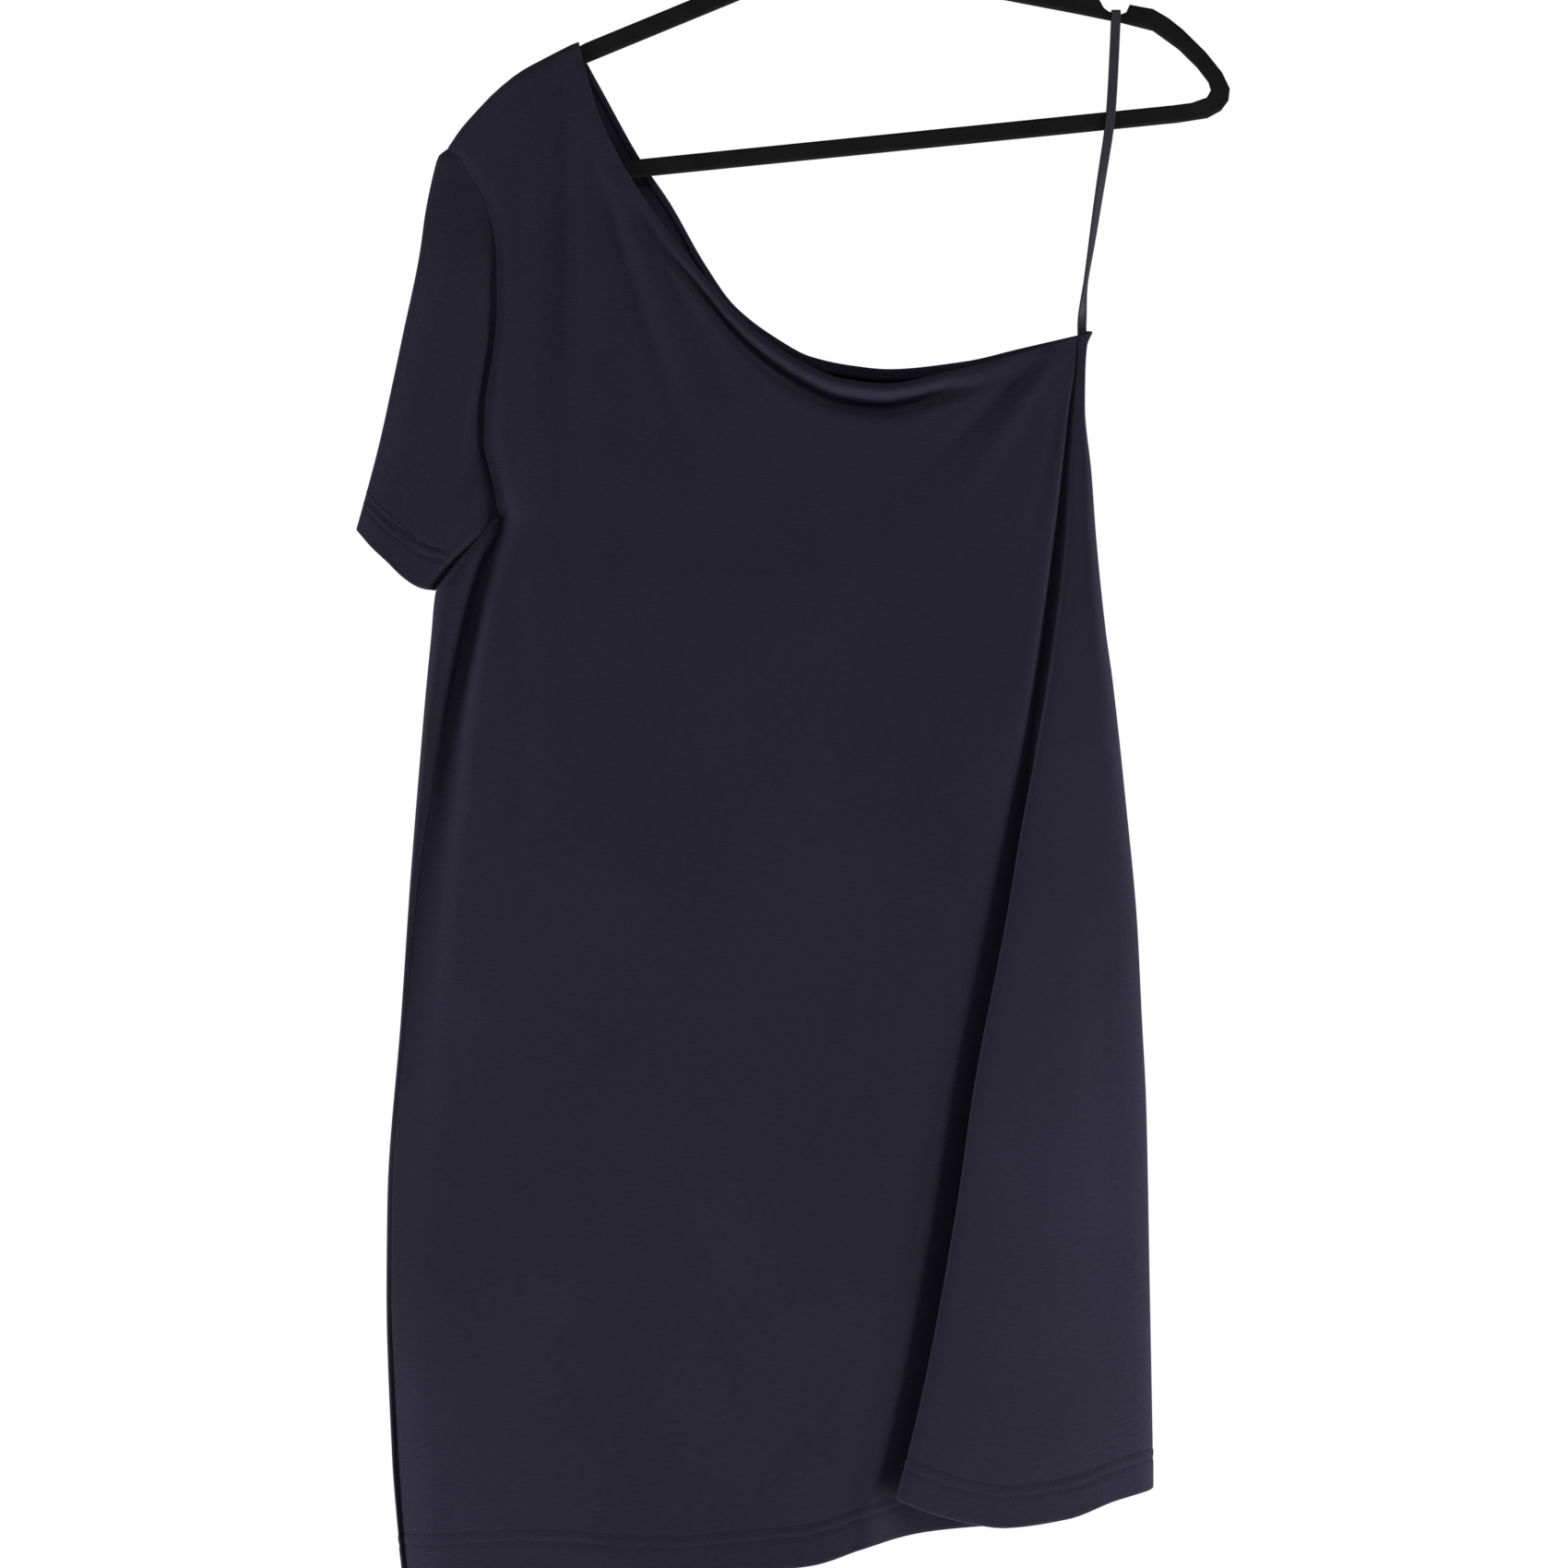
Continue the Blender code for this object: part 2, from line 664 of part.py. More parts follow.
def sleeve_point(s, t):
    """A point of the flat-laid sleeve: s runs from its top fold to its underarm, t to its hem."""
    def corner(edge, key):
        return np.array((edge.at("x", key), edge.at("z", key)))

    armhole_z = blend(SLEEVE_TOP_FOLD.at("z", 0), ARMPIT[1], s)
    armhole = np.array((LEFT_EDGE.at("x", armhole_z), armhole_z))
    across = blend(armhole, corner(SLEEVE_HEM, s), t)
    along = blend(corner(SLEEVE_TOP_FOLD, t), corner(SLEEVE_UNDERARM, t), s)
    at_armhole = blend(corner(SLEEVE_TOP_FOLD, 0), corner(SLEEVE_UNDERARM, 0), s)
    at_hem = blend(corner(SLEEVE_HEM, 0), corner(SLEEVE_HEM, 1), s)
    clear_of_seam = np.array((SLEEVE_SEAM_GAP * (1 - t), 0.0))
    return across + along - blend(at_armhole, at_hem, t) - clear_of_seam


def sleeve_ring(t):
    """One ring of the sleeve, a flattened loop with round folds at its top and underarm."""
    top_depth, under_depth = SLEEVE_HALF_DEPTH.at("top", t), SLEEVE_HALF_DEPTH.at("under", t)
    length = np.linalg.norm(sleeve_point(1, t) - sleeve_point(0, t))
    turn = np.linspace(0, math.pi / 2, SLEEVE_TURN_STEPS + 1)
    first = [(HALF_WALL + top_depth * (1 - math.cos(a)), top_depth * math.sin(a)) for a in turn]
    under = length - HALF_WALL
    last = [(under - under_depth * (1 - math.cos(a)), under_depth * math.sin(a)) for a in turn]
    armhole = SLEEVE_TOP_FOLD.at("z", 0) - ARMPIT[1]
    between = []
    for below in [row for row in EDGE_ROWS + ARMHOLE_ROWS if 8 <= row < armhole - 6]:
        share = below / armhole
        between.append((length * share, blend(top_depth, under_depth, share)))
    half = first + between + list(reversed(last))
    points = []
    for side, run in ((-1, half), (1, list(reversed(half))[1:-1])):
        for along, out in run:
            x, z = sleeve_point(along / length, t)
            points.append((x, side * out, z))
    return points


def grid_mesh(name, rows, closed=False):
    """A mesh of quads through equal rows of points in millimetres."""
    mesh = bpy.data.meshes.new(name)
    shape = bmesh.new()
    lines = [[shape.verts.new(Vector(point) * MM) for point in row] for row in rows]
    for upper, lower in zip(lines, lines[1:]):
        count = len(upper)
        for i in range(count if closed else count - 1):
            j = (i + 1) % count
            shape.faces.new((upper[i], upper[j], lower[j], lower[i]))
    shape.to_mesh(mesh)
    shape.free()
    mesh.shade_smooth()
    return mesh


def material(name, hex_colour, roughness, metallic=0.0):
    made = bpy.data.materials.new(name)
    made.use_nodes = True
    shader = made.node_tree.nodes["Principled BSDF"]
    channels = [int(hex_colour[i : i + 2], 16) / 255 for i in (0, 2, 4)]
    linear = [c / 12.92 if c <= 0.04045 else ((c + 0.055) / 1.055) ** 2.4 for c in channels]
    shader.inputs["Base Color"].default_value = (*linear, 1.0)
    shader.inputs["Roughness"].default_value = roughness
    shader.inputs["Metallic"].default_value = metallic
    return made


def add(name, mesh, finish, thickness=None):
    """Adds a named sub-part. A thickness gives an open surface its wall, half on each side."""
    mesh.materials.append(finish)
    made = bpy.data.objects.new(name, mesh)
    bpy.data.collections[COLLECTION].objects.link(made)
    if thickness:
        wall = made.modifiers.new("wall", "SOLIDIFY")
        wall.thickness = thickness * MM
        wall.offset = 0.0
        wall.use_rim = True
    return made


def panel(name, places, nodes_at, point_at, top_edge, hem_at, finish):
    """A dress panel: a column of points for each place along its sections."""
    made = []
    for t in places:
        top = column_top(nodes_at, top_edge, t)
        made.append([point_at(t, z, top) for z in heights(top, hem_at(t))])
    return add(name, grid_mesh(name, np.array(made).transpose(1, 0, 2)), finish, WALL)


def dress_front(finish):
    places = columns(
        front_nodes,
        FRONT_TOP,
        (0, 3, 1),
        (3, FIRST_WEDGE_NODE, 0.5),
        (FIRST_WEDGE_NODE, TUCK_NODE - 1, 1),
        (TUCK_NODE - 1, TUCK_NODE + 1, 0.5),
        (TUCK_NODE + 1, EDGE_NODE - 1, 1),
        (EDGE_NODE - 1, EDGE_NODE + 1, 0.5),
        (EDGE_NODE + 1, LAST_FRONT_NODE, 1),
    )
    return panel("dress_front", places, front_nodes, front_point, FRONT_TOP, front_hem, finish)


def dress_back(finish):
    places = columns(
        back_nodes,
        BACK_TOP,
        (0, 3, 1),
        (3, 2 + BACK_PANEL_NODES, 0.5),
        (2 + BACK_PANEL_NODES, LAST_BACK_NODE, 1),
    )

    def hem_at(t):
        return BACK_HEM.at("z", spline_point(back_nodes(HEM_LEVEL), t)[0])

    return panel("dress_back", places, back_nodes, back_point, BACK_TOP, hem_at, finish)


def sleeve(finish):
    rings = [sleeve_ring(t) for t in np.linspace(0, 1, SLEEVE_ROWS + 1)]
    return add("sleeve", grid_mesh("sleeve", rings, closed=True), finish, WALL)


def ribbon_points():
    """The loop's middle line and its width direction: up in front, over the notch and down behind."""
    names = ("x", "y", "z", "twist")
    nodes = np.array([[row[name] for name in names] for row in RIBBON_ROUTE], float)
    steps = np.linspace(0, len(nodes) - 1, RIBBON_STEPS * (len(nodes) - 1) + 1)
    front = [spline_point(nodes, t) for t in steps]
    top = nodes[-1]
    over = []
    for angle in np.linspace(0, math.pi, RIBBON_TOP_TURN + 1)[1:-1]:
        rise = RIBBON_STAND_OFF * math.sin(angle)
        over.append(np.array((top[0], -RIBBON_STAND_OFF * math.cos(angle), top[2] + rise, 0.0)))
    back = [np.array((x, -y, z, -twist)) for x, y, z, twist in reversed(front)]
    return front + over + back


def hanging_loop(finish):
    rows = []
    for x, y, z, twist in ribbon_points():
        angle = math.radians(twist)
        across = np.array((math.cos(angle), math.sin(angle), 0.0)) * RIBBON_HALF_WIDTH
        middle = np.array((x, y, z))
        rows.append([middle - across, middle, middle + across])
    return add("hanging_loop", grid_mesh("hanging_loop", rows), finish, RIBBON_THICKNESS)


def on_hanger(u, v):
    """World x and z of a point u along the hanger's bar and v below its apex."""
    x = HANGER_APEX[0] + u * math.cos(HANGER_TILT) + v * math.sin(HANGER_TILT)
    z = HANGER_APEX[1] + u * math.sin(HANGER_TILT) - v * math.cos(HANGER_TILT)
    return x, z


def arm_edge(u, offset):
    """Depth below the apex of the arm's upper (negative offset) or lower edge at u."""
    return abs(u) * math.tan(ARM_SLOPE) + offset / math.cos(ARM_SLOPE)


def notch(side, drop):
    """Upper edge of the arm through its strap notch, from the middle outward."""
    outline = []
    for share, sink in ((-1.0, 0.0), (-0.72, 0.75), (-0.4, 1.0), (0.4, 1.0), (0.72, 0.75), (1.0, 0.0)):
        u = NOTCH_PLACE + share * NOTCH_HALF_LENGTH
        fall = drop * smoothstep(u, NOTCH_PLACE - 1.6 * NOTCH_HALF_LENGTH, NOTCH_PLACE)
        sunk = sink * max(NOTCH_DEPTH - fall, 0.0)
        outline.append((side * u, arm_edge(u, -ARM_HALF_WIDTH) + sunk + fall))
    return outline


# The rounded end of an arm, outside and inside, as distances from the middle and below the apex
END_OUTSIDE = ((182.4, 48.9), (190.5, 54.8), (197.9, 62.0), (209.5, 76.0), (217.6, 88.5), (221.0, 98.0),
               (219.6, 104.6), (215.0, 109.6), (207.0, 113.0))
END_INSIDE = ((164.6, 54.8), (181.3, 60.9), (194.7, 72.8), (204.0, 84.0), (209.6, 93.0), (210.4, 97.6),
              (207.6, 101.6), (198.5, 103.8))


def hanger_outline(left_drop):
    """Outer outline, clockwise from the boss. The left shoulder under the dress sits a little lower."""
    right = [(BOSS_HALF_WIDTH, -BOSS_RISE), (BOSS_HALF_WIDTH + 1.5, -BOSS_RISE + 3)]
    right += [(u, arm_edge(u, -ARM_HALF_WIDTH)) for u in (18, 80, 138)]
    left = [(-u, v) for u, v in right]
    right += notch(1, 0.0) + list(END_OUTSIDE)
    left += notch(-1, left_drop)
    for u, v in END_OUTSIDE:
        left.append((-u, v + left_drop * (1 - smoothstep(u, 196, 220))))
    right.append((190, BAR_DROP + BAR_HALF_WIDTH))
    left.append((-190, BAR_DROP + BAR_HALF_WIDTH))
    return right + list(reversed(left))


def hanger_opening():
    """Outline of the gap between the arms and the bar."""
    right = [(0, arm_edge(0, ARM_HALF_WIDTH) + 2)]
    right += [(u, arm_edge(u, ARM_HALF_WIDTH)) for u in (12, 140)]
    right += list(END_INSIDE) + [(188, BAR_DROP - BAR_HALF_WIDTH)]
    left = [(-u, v) for u, v in right[1:]]
    return right + list(reversed(left))


def hanger_frame(finish):
    """The two arms, bar and boss, cut from one board with rounded edges."""
    curve = bpy.data.curves.new("hanger_frame", "CURVE")
    curve.dimensions = "2D"
    curve.fill_mode = "BOTH"
    curve.extrude = (HANGER_THICKNESS / 2 - HANGER_ROUNDING) * MM
    curve.bevel_depth = HANGER_ROUNDING * MM
    curve.bevel_resolution = 1
    curve.offset = -HANGER_ROUNDING * MM
    for outline in (hanger_outline(LEFT_SHOULDER_DROP), hanger_opening()):
        spline = curve.splines.new("POLY")
        spline.points.add(len(outline) - 1)
        for point, (u, v) in zip(spline.points, outline):
            point.co = (u * MM, -v * MM, 0.0, 1.0)
        spline.use_cyclic_u = True
    guide = bpy.data.objects.new("hanger_guide", curve)
    bpy.data.collections[COLLECTION].objects.link(guide)
    bpy.context.view_layer.update()
    mesh = bpy.data.meshes.new_from_object(guide.evaluated_get(bpy.context.evaluated_depsgraph_get()))
    bpy.data.objects.remove(guide)
    shape = bmesh.new()
    shape.from_mesh(mesh)
    bmesh.ops.remove_doubles(shape, verts=shape.verts, dist=0.00001)
    for vert in shape.verts:
        u, v, y = vert.co.x / MM, -vert.co.y / MM, vert.co.z / MM
        x, z = on_hanger(u, v)
        vert.co = Vector((x, -y, z)) * MM
    bmesh.ops.recalc_face_normals(shape, faces=shape.faces)
    shape.to_mesh(mesh)
    shape.free()
    mesh.name = "hanger_frame"
    return add("hanger_frame", mesh, finish)


def hanger_hook(finish):
    """A wire that rises from the boss, swings out and turns over the rail."""
    radius = HOOK_INNER_RADIUS + HOOK_WIRE_RADIUS
    route = [on_hanger(0, -v) for v in (BOSS_RISE + SEAM_GAP, 18, 25)] + [on_hanger(2.6, -32)]
    for degrees in np.arange(HOOK_ARC_START, HOOK_ARC_END + 0.1, HOOK_ARC_STEP):
        angle = math.radians(degrees)
        route.append((radius * math.cos(angle), radius * math.sin(angle) - HOOK_INNER_RADIUS))
    curve = bpy.data.curves.new("hanger_hook", "CURVE")
    curve.dimensions = "3D"
    curve.bevel_depth = HOOK_WIRE_RADIUS * MM
    curve.bevel_resolution = 2
    curve.use_fill_caps = True
    spline = curve.splines.new("POLY")
    spline.points.add(len(route) - 1)
    for point, (x, z) in zip(spline.points, route):
        point.co = (x * MM, 0.0, z * MM, 1.0)
    curve.materials.append(finish)
    made = bpy.data.objects.new("hanger_hook", curve)
    bpy.data.collections[COLLECTION].objects.link(made)
    return made


def main():
    for old in list(bpy.data.objects):
        bpy.data.objects.remove(old)
    bpy.context.scene.collection.children.link(bpy.data.collections.new(COLLECTION))
    jersey = material("navy_jersey", "2b2836", 0.92)
    tape = material("navy_ribbon", "33323f", 0.7)
    flock = material("black_flock", "232324", 0.95)
    chrome = material("chromed_wire", "c8cacc", 0.18, 1.0)
    dress_front(jersey)
    dress_back(jersey)
    sleeve(jersey)
    hanging_loop(tape)
    hanger_frame(flock)
    hanger_hook(chrome)


main()
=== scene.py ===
"""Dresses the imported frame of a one-shoulder jersey dress that hangs on a slim flocked hanger.

Row frame, in metres: +Z up, the dress faces -Y, and the origin is where the hook bears on its rail.
The cloth is worked out in millimetres along level sections of the garment and laid on its solids' forms.
"""

import math

import bmesh
import bpy
import numpy as np
from bpy.props import FloatProperty, FloatVectorProperty, IntProperty, PointerProperty
from mathutils import Matrix, Vector


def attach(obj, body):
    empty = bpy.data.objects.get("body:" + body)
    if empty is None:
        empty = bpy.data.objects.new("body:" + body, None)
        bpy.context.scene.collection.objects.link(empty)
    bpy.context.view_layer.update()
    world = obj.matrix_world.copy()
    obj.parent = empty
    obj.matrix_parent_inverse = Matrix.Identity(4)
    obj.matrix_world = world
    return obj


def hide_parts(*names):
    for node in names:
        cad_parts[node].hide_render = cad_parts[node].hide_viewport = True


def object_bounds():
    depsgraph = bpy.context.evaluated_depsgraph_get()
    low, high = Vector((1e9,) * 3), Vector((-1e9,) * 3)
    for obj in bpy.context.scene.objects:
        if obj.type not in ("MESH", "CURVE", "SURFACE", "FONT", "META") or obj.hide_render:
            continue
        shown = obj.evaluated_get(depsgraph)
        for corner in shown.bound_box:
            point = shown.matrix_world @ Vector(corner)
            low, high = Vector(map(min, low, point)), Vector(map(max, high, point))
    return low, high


bl_info = {
    "name": "One-shoulder dress on a hanger",
    "version": (1, 0, 0),
    "blender": (4, 5, 0),
    "location": "3D View > Sidebar > Dress",
    "description": "Models and finishes a one-shoulder jersey dress on its hanger around the packed frame",
    "category": "Object",
}

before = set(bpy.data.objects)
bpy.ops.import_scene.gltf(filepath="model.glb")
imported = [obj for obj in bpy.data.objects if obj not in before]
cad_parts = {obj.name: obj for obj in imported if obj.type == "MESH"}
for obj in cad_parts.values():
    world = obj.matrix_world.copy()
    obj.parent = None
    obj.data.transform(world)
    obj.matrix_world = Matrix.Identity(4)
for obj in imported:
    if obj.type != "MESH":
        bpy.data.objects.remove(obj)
CAD_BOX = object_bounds()

# One millimetre in metres. The cloth's own sizes and places are in millimetres
MM = 0.001

# Sewn edges stand this far from their seam's line, and an outline is half a wall outside its cloth's middle
SEAM_GAP = 0.05
SLEEVE_SEAM_GAP = 0.1
SIDE_WALL = 0.7

# Places along a section, from the edge or line they are named for
SEAM_FLAT = 3.0
SEAM_RISE = 10.0
PANEL_FROM_ROLL = 12.0
FOLD_LAYER_GAP = 4.6
RIGHT_TURN = 4.0
BACK_FROM_TURN = 10.0
BACK_FROM_ARMHOLE = 36.0
BACK_FROM_OUTLINE = 18.0
SIDE_ROUND = 9.0

# How far at most the left side's round comes in front of the hanger's plane
FRONT_ROUND = 15.0

# Share by which the front falls back as it nears the right side, and by which the back does
FLAP_FALL = 0.5
BACK_FALL = 0.2

ARMPIT = (-175.3, -394.8)

# Above the armpit: where the back starts to wrap round the left side, and where the cloth beside the
# armhole starts to close up. The wrap is full this far below its start
WRAP_START = 4.0
CLOSING_START = 100.0
WRAP_LENGTH = 4.0

# The neck point of the shoulder seam, and how far beyond it the cloth has extra columns
NECK_POINT = (-130.5, -123.5)
NECK_STEPS = (0.0, 0.3, 0.6, 1.2, 3.2)

# Rise of the hanger's arm for each millimetre towards its hook
ARM_RISE = 0.415

# Level at which each column's place across the hem is read
HEM_LEVEL = -958.0


class Rows:
    """A short table of named columns, read as smooth curves along its first column."""

    def __init__(self, names, *rows):
        ordered = np.array(sorted(rows), float)
        self.keys = ordered[:, 0]
        self.columns = dict(zip(names.split(), ordered.T))
        self.slopes = {name: self.tangents(values) for name, values in self.columns.items()}

    def tangents(self, values):
        """Slopes that never let the curve pass beyond the rows on either side of it."""
        steps = np.diff(values) / np.diff(self.keys)
        before, after = steps[:-1], steps[1:]
        same_way = before * after > 0
        total = np.where(same_way, before + after, 1.0)
        inner = np.where(same_way, 2 * before * after / total, 0.0)
        return np.concatenate([steps[:1], inner, steps[-1:]])

    def at(self, name, key):
        """The column's value at these keys, level past the first and last rows."""
        key = np.clip(key, self.keys[0], self.keys[-1])
        i = np.clip(np.searchsorted(self.keys, key, side="right") - 1, 0, len(self.keys) - 2)
        span = self.keys[i + 1] - self.keys[i]
        f = (key - self.keys[i]) / span
        values, slopes = self.columns[name], self.slopes[name]
        rise = f * f * (3 - 2 * f)
        return (
            values[i] + (values[i + 1] - values[i]) * rise
            + slopes[i] * span * f * (1 - f) ** 2
            - slopes[i + 1] * span * f * f * (1 - f)
        )


# Left edge of the front panel: the armhole, then the side seam in its trough
LEFT_EDGE = Rows(
    "z x y",
    (-110, -209, -4.4),
    (-183, -203.6, -4.6),
    (-190, -196.6, -4.7),
    (-202, -189.0, -4.9),
    (-215, -182.3, -5.0),
    (-243, -176.3, -5.4),
    (-275, -176.0, -5.8),
    (-299, -178.2, -6.0),
    (-331, -182.8, -6.3),
    (-350, -183.3, -6.5),
    (-369, -179.2, -6.5),
    (-386, -176.2, -6.0),
    (-392, -175.4, -3.8),
    (-396, -175.3, -0.9),
    (-404, -178.0, -2.2),
    (-412, -181.5, -3.6),
    (-431, -187.8, -5.0),
    (-477, -199.0, -7.5),
    (-516, -207.5, -10.0),
    (-558, -214.5, -12.0),
    (-600, -220.5, -13.0),
    (-672, -226.5, -13.6),
    (-777, -234.3, -13.2),
    (-829, -234.8, -12.4),
    (-881, -233.0, -11.2),
    (-955, -229.0, -10.4),
    (-990, -225.5, -10.4),
)

# Outline of the body on the viewer's left, from the armpit down
LEFT_OUTLINE = Rows(
    "z x",
    (-394.6, -180.0),
    (-399.6, -185.6),
    (-409.4, -193.4),
    (-421.7, -204.0),
    (-434.2, -211.6),
    (-459, -214.0),
    (-495, -217.4),
    (-594, -225.3),
    (-672, -230.5),
    (-777, -238.3),
    (-829, -238.8),
    (-922, -235.7),
    (-955, -233.1),
    (-990, -229.3),
)

# Outline on the viewer's right, from the corner that the loop holds down to the hem
RIGHT_OUTLINE = Rows(
    "z x",
    (-286.5, 160.7),
    (-295, 157.2),
    (-310, 156.2),
    (-329, 156.0),
    (-366, 159.6),
    (-402, 162.2),
    (-454, 167.4),
    (-485, 171.6),
    (-553, 178.9),
    (-620, 185.2),
    (-672, 187.8),
    (-724, 190.4),
    (-829, 192.4),
    (-916, 194.0),
)

# Where the front panel's even part starts: beside the seam, but without the seam's own turns
PANEL_START = Rows(
    "z x",
    (-250, -154.0),
    (-400, -154.0),
    (-440, -160.0),
    (-500, -178.0),
    (-600, -197.0),
    (-700, -206.0),
    (-777, -212.3),
    (-829, -212.8),
    (-881, -211.0),
    (-955, -207.0),
    (-990, -203.5),
)

# The trough along the armhole and the left side seam: how far it is drawn in, its half width and how far
# its middle lies onto the front panel
TROUGH = Rows(
    "z deep half middle",
    (-183, 0.9, 3.0, 0.0),
    (-215, 1.6, 6.0, 0.0),
    (-320, 2.2, 7.0, 0.0),
    (-355, 3.6, 7.5, 0.5),
    (-392, 5.5, 8.0, 1.0),
    (-430, 7.5, 8.0, 1.5),
    (-477, 6.5, 8.0, 3.0),
    (-516, 5.0, 8.5, 6.0),
    (-560, 3.6, 10.0, 9.0),
    (-600, 2.8, 10.0, 9.0),
    (-672, 2.0, 10.0, 9.0),
    (-724, 1.2, 10.0, 9.0),
    (-800, 0.6, 10.0, 9.0),
    (-880, 0.1, 10.0, 9.0),
)

# Outside the seam the trough is narrower, by this share
TROUGH_OUTSIDE = 0.45

# The wedge fold: where the panel rolls in, the flap's free edge, the tuck behind it, the panel's drop
# behind the roll, how far the flap stands in front of the panel, and how far the fold lies over (0 to 1)
WEDGE = Rows(
    "z roll edge tuck drop proud lie",
    (-286, 150.0, 152.6, 151.4, 0.4, 0.0, 0),
    (-310, 148.6, 151.4, 150.0, 2.0, -0.2, 0),
    (-329, 145.6, 149.7, 147.6, 3.6, -0.5, 0),
    (-360, 142.0, 147.3, 144.8, 6.0, -0.8, 0),
    (-402, 136.6, 144.9, 141.2, 9.0, -0.6, 0),
    (-485, 123.8, 134.6, 132.0, 11.0, 0.4, 0.15),
    (-568, 106.2, 118.9, 130.5, 12.0, 2.2, 0.75),
    (-620, 95.2, 110.0, 131.0, 12.5, 3.4, 1),
    (-709, 78.2, 92.6, 127.0, 13.0, 4.2, 1),
    (-777, 66.0, 82.6, 123.5, 13.0, 4.4, 1),
    (-869, 49.0, 65.9, 115.5, 13.0, 4.4, 1),
    (-945, 32.0, 47.7, 105.0, 12.0, 4.2, 1),
)

# How the panel falls back as it comes to the wedge's roll: how far, over what half width, and the depths
# below the rail from which it starts and at which it is full
ROLL_FALL = dict(deep=2.2, half=14.0, start=580.0, full=740.0)

# How far the front and back panels stand from the hanger's plane, at their sides and between them
DEPTH = Rows(
    "z front_left front_right front_belly back_left back_right back_belly",
    (-120, 4.4, 3.4, 0.0, 4.4, 3.4, 0.0),
    (-205, 4.9, 3.4, 2.0, 4.6, 3.4, 0.5),
    (-256, 5.6, 3.4, 5.0, 5.0, 3.4, 1.0),
    (-293, 6.0, 3.4, 7.0, 5.5, 3.4, 2.0),
    (-310, 6.2, 3.7, 7.5, 5.6, 3.6, 2.5),
    (-330, 6.4, 4.6, 8.0, 5.8, 4.4, 3.0),
    (-360, 6.5, 6.5, 8.0, 6.0, 6.0, 4.0),
    (-395, 6.6, 9.0, 8.0, 6.5, 8.0, 5.0),
    (-485, 9.5, 14.0, 8.0, 9.0, 12.0, 6.0),
    (-570, 12.5, 18.0, 7.5, 12.0, 15.0, 6.0),
    (-672, 15.5, 21.0, 7.0, 15.0, 18.0, 6.0),
    (-830, 18.5, 24.0, 7.0, 18.0, 21.0, 6.0),
    (-990, 21.0, 27.0, 7.0, 21.0, 24.0, 6.0),
)

# The shoulder seam up the hanger's arm, which both panels share
SHOULDER = (
    (-203.6, -182.8),
    (-195.6, -171.4),
    (-187.2, -162.0),
    (-179.4, -153.7),
    (-163.3, -140.4),
    (-150.8, -133.5),
    (-136.2, -126.0),
    (-130.5, -123.5),
    (-130.2, -124.2),
    (-129.9, -126.0),
)

FRONT_TOP = Rows(
    "x z",
    *SHOULDER,
    (-129.3, -129.5),
    (-127.3, -136.0),
    (-120.6, -161.0),
    (-106.0, -192.2),
    (-86.7, -222.4),
    (-64.3, -250.5),
    (-44.0, -275.0),
    (-27.9, -290.0),
    (-4.4, -305.6),
    (18.5, -314.8),
    (42.5, -317.6),
    (76.8, -310.9),
    (119.5, -299.5),
    (151.3, -290.1),
    (160.7, -287.0),
)

BACK_TOP = Rows(
    "x z",
    *SHOULDER,
    (-129.3, -128.5),
    (-127.3, -132.5),
    (-117.4, -150.5),
    (-96.6, -188.0),
    (-78.9, -214.1),
    (-59.6, -247.9),
    (-42.4, -272.0),
    (-16.4, -291.7),
    (0.3, -300.5),
    (23.7, -305.7),
    (45.1, -307.8),
    (87.8, -303.6),
    (119.5, -296.4),
    (160.7, -287.0),
)

FRONT_HEM = Rows(
    "x z",
    (-230, -986.0),
    (-150, -981.5),
    (-83, -984.5),
    (-33, -980.5),
    (0, -977.0),
    (36, -966.0),
    (65, -960.0),
    (108, -956.0),
)

FLAP_HEM = Rows(
    "x z",
    (47.0, -939.5),
    (67.0, -947.0),
    (91.0, -953.5),
    (108.0, -956.0),
    (144.5, -952.0),
    (171.0, -943.0),
    (194.0, -937.5),
)

BACK_HEM = Rows(
    "x z",
    (-230, -986.0),
    (-150, -983.0),
    (-50, -978.0),
    (50, -961.0),
    (130, -948.0),
    (194, -937.5),
)

# Soft folds of the front panel, each a line from one point to another with its half width and height.
# A ridge has a positive height and a trough a negative one. They fan out from the shoulder, the
# neckline and the corner that the loop pulls up.
FRONT_FOLDS = (
    dict(start=(-153, -132), end=(-157, -560), width=7, height=2.0),
    dict(start=(-139, -128), end=(-135, -580), width=8, height=-2.2),
    dict(start=(-126, -136), end=(-110, -560), width=7, height=1.9),
    dict(start=(-124, -190), end=(-50, -405), width=5, height=-1.7),
    dict(start=(-111, -196), end=(-36, -405), width=5, height=1.7),
    dict(start=(-102, -212), end=(-22, -362), width=5, height=-1.4),
    dict(start=(-92, -236), end=(10, -348), width=5, height=1.4),
    dict(start=(138, -298), end=(78, -392), width=6, height=2.1),
    dict(start=(133, -302), end=(62, -366), width=4.5, height=-1.8),
    dict(start=(118, -300), end=(36, -352), width=5, height=1.0),
    dict(start=(143, -322), end=(120, -425), width=4, height=-1.0),
    dict(start=(-177, -430), end=(-212, -780), width=7, height=1.9),
    dict(start=(-158, -430), end=(-166, -660), width=8, height=-1.4),
    dict(start=(-128, -300), end=(-136, -820), width=16, height=0.9),
    dict(start=(-60, -420), end=(-74, -930), width=34, height=1.2),
    dict(start=(20, -430), end=(4, -930), width=30, height=-1.1),
)
FLAP_FOLDS = (
    dict(start=(158, -340), end=(164, -560), width=4, height=0.6),
    dict(start=(160, -620), end=(172, -930), width=9, height=-0.8),
)

